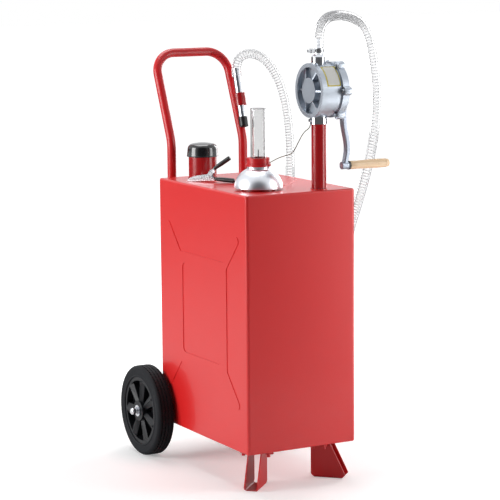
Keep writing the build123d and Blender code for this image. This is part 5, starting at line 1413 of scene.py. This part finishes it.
@dataclass
class ClipDetails(SubAssembly):
    """The ribbed sleeves and the coil spring of the earthing clip."""

    clip: ClipPlace = ClipPlace()
    pin: Pair = (66.0, 14.0)
    lower_run: tuple[Pair, Pair] = ((85.8, 9.4), (141.9, 6.9))
    upper_run: tuple[Pair, Pair] = ((81.84, 38.08), (128.7, 69.3))
    half_width: float = 7.0
    half_height: float = 6.4
    squareness: float = 2.6
    neck_share: float = 0.74
    neck_run: float = 0.45
    overhang: float = 2.0
    rib_pitch: float = 4.2
    groove_depth: float = 0.09
    groove_half: float = 0.22
    plain_end: float = 4.0
    tail_run: float = 2.5
    tail_drop: float = 0.55
    stations: int = 90
    loop_points: int = 28
    coil_steps: int = 64
    coil_sides: int = 7
    coil_pitch: float = 1.55
    coil_reach: float = 3.9
    coil_wire: float = 0.7
    coil_half: float = 3.0

    def swell(self, station: float, length: float) -> float:
        """The size of a sleeve's section, as a share of its full size.

        Args:
            station: The distance from the sleeve's start in millimetres.
            length: The sleeve's length.

        Returns:
            The share.
        """
        groove = max(0.0, 1 - abs(station / self.rib_pitch % 1.0 - 0.5) / self.groove_half)
        size = 1.0 - self.groove_depth * groove * (self.plain_end < station < length - self.plain_end)
        tail = max(0.0, station - (length - self.tail_run)) / self.tail_run
        size *= math.sqrt(1 - self.tail_drop * tail ** 2)
        return size * (self.neck_share + (1 - self.neck_share) * min(1.0, station / (self.neck_run * length)))

    def sleeve(self, name: str, near: Pair, far: Pair) -> bpy.types.Object:
        """A rubber sleeve with rings of ribs.

        Args:
            name: The piece's name.
            near: Where its handle starts, along and up in millimetres.
            far: Where its handle ends.

        Returns:
            The object.
        """
        start, end = self.clip.spot(*near), self.clip.spot(*far)
        along, across = (end - start).normalized(), self.clip.across()
        up = across.cross(along).normalized()
        length = (end - start).length + self.overhang
        section = []
        for i in range(self.loop_points):
            c, s = math.cos(FULL_TURN * i / self.loop_points), math.sin(FULL_TURN * i / self.loop_points)
            reach = (abs(c) ** self.squareness + abs(s) ** self.squareness) ** (-1 / self.squareness)
            section.append(across * (c * reach * self.half_width) + up * (s * reach * self.half_height))
        loops = []
        for station in (length * i / self.stations for i in range(self.stations + 1)):
            size = self.swell(station, length)
            loops.append([at(*(start + along * station + out * size)) for out in section])
        return lofted(name, loops)

    def build(self) -> None:
        """Makes and dresses the sleeves and the spring."""
        lower = self.sleeve("ribbed_sleeve_lower", *self.lower_run)
        upper = self.sleeve("ribbed_sleeve_upper", *self.upper_run)
        self.shop.deliver(lower, Slot.BLACK_RUBBER, Body.CADDY, "clip_sleeve_lower")
        self.shop.deliver(upper, Slot.BLACK_RUBBER, Body.CLIP_UPPER, "clip_sleeve_upper")
        ends = [tuple(self.clip.spot(*self.pin, reach)) for reach in (-self.coil_half, 0.0, self.coil_half)]
        coil = self.shop.wind(cord_line("spring_line", ends), "coil_spring", self.coil_steps, self.coil_sides,
                              self.coil_pitch, self.coil_reach, self.coil_wire,
                              self.shop.materials[Slot.PLATED_STEEL])
        self.shop.deliver(coil, Slot.PLATED_STEEL, Body.CADDY, "clip_spring")


# Studio

@dataclass
class Studio:
    """The floor, the lights and the camera."""

    camera_place: Point = (-2722.9, -4915.9, 1352.4)
    forward: Point = (0.47707, 0.86633, -0.14790)
    right: Point = (0.87533, -0.48345, -0.00833)
    lens: float = 146.94
    sensor: float = 36.0
    clip_range: Pair = (0.1, 60.0)
    floor_half: float = 30.0
    room_light: float = 0.1
    pale_room: Colour = (0.95, 0.96, 0.98)
    dark_room: Colour = (0.02, 0.025, 0.035)
    dark_places: Pair = (0.6, 0.94)
    dark_shares: Pair = (0.0, 0.92)
    middle: Point = (0.0, 0.0, 0.6)

    def camera(self) -> None:
        """Sets the camera at the photograph's viewing angle."""
        data = bpy.data.cameras.new("view")
        data.lens, data.sensor_width, data.sensor_fit = self.lens, self.sensor, "AUTO"
        data.clip_start, data.clip_end = self.clip_range
        camera = link("view", data)
        forward = Vector(self.forward).normalized()
        right = Vector(self.right)
        right = (right - forward * right.dot(forward)).normalized()
        turn = Matrix((right, right.cross(forward), -forward)).transposed().to_4x4()
        camera.matrix_world = Matrix.Translation(at(*self.camera_place)) @ turn
        bpy.context.scene.camera = camera

    def floor(self) -> None:
        """Lays a pale floor that shows near white and keeps the shadow."""
        half = self.floor_half
        mesh = bpy.data.meshes.new("floor")
        mesh.from_pydata([(x, y, 0.0) for x, y in rectangle(-half, half, -half, half)], [], [(0, 1, 2, 3)])
        floor = link("floor", mesh)
        mesh.materials.append(FLOOR_FINISH.material("pale_floor"))

    def sky(self) -> None:
        """A soft pale room: white where it is seen, dark behind the camera where bright metal mirrors it."""
        world = bpy.data.worlds.new("studio")
        bpy.context.scene.world = world
        world.use_nodes = True
        world.node_tree.nodes.clear()
        wiring = Wiring(world.node_tree)
        direction = wiring.add("ShaderNodeTexCoord", output="Generated")
        behind = Vector(self.forward).normalized() * -1.0
        toward = wiring.vector("DOT_PRODUCT", direction, behind, output="Value")
        room = wiring.mix(wiring.ease(toward, self.dark_places, self.dark_shares), self.pale_room, self.dark_room)
        camera, glossy, through, depth = wiring.outputs(
            "ShaderNodeLightPath", "Is Camera Ray", "Is Glossy Ray", "Is Transmission Ray", "Glossy Depth")
        after_mirror = through * depth.apply("MINIMUM", 1.0)
        seen = camera.apply("MAXIMUM", through - after_mirror)
        plain, mirrored, white = (
            wiring.add("ShaderNodeBackground", {}, {"Color": colour, "Strength": strength})
            for colour, strength in ((room, self.room_light), (room, 1.0), ((1.0, 1.0, 1.0, 1.0), 1.0)))
        shown = wiring.add("ShaderNodeMixShader", {},
                           {0: glossy.apply("MAXIMUM", after_mirror), 1: plain, 2: mirrored})
        surface = wiring.add("ShaderNodeMixShader", {}, {0: seen, 1: shown, 2: white})
        wiring.add("ShaderNodeOutputWorld", {}, {"Surface": surface})

    def lamp(self, name: str, place: Point, target: Point, size: Pair, power: float) -> None:
        """Hangs one soft box.

        Args:
            name: The lamp's name.
            place: Where it hangs, in metres.
            target: The point that it faces, in metres.
            size: Its width and height in metres.
            power: Its power in watts.
        """
        data = bpy.data.lights.new(name, "AREA")
        data.shape, data.energy = "RECTANGLE", power
        data.size, data.size_y = size
        aim = (Vector(target) - Vector(place)).to_track_quat("-Z", "Y").to_matrix().to_4x4()
        link(name, data).matrix_world = Matrix.Translation(Vector(place)) @ aim

    def build(self) -> None:
        """Sets up everything that isn't part of the caddy."""
        self.camera()
        self.floor()
        self.sky()
        self.lamp("left_box", (-4.2, 0.9, 1.7), self.middle, (2.4, 2.6), 155.0)
        self.lamp("right_box", (0.95, -1.0, 0.75), (0.2, -0.3, 0.5), (0.5, 1.5), 12.0)
        self.lamp("rear_box", (3.2, 1.6, 1.6), self.middle, (1.6, 2.4), 55.0)
        self.lamp("top_box", (0.2, 1.0, 4.0), self.middle, (2.4, 2.4), 80.0)
        bpy.context.scene.view_settings.view_transform = "Standard"


def main() -> None:
    """Builds the caddy's looks piece by piece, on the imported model."""
    logging.basicConfig(level=logging.INFO, format="%(name)s: %(message)s")
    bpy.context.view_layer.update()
    Studio().build()
    shop = Workshop()
    shop.dress_nodes()
    Hose(shop).build()
    EarthingLead(shop).build()
    Wheel(shop, "left", Body.WHEEL_LEFT, -202.0).build()
    Wheel(shop, "right", Body.WHEEL_RIGHT, 202.0).build()
    for group in (FillerCap, LevelGauge, CrankGrip, HoseClamp, PumpTrim, WeldBeads, ClipDetails):
        group(shop).build()


if __name__ == "__main__":
    main()
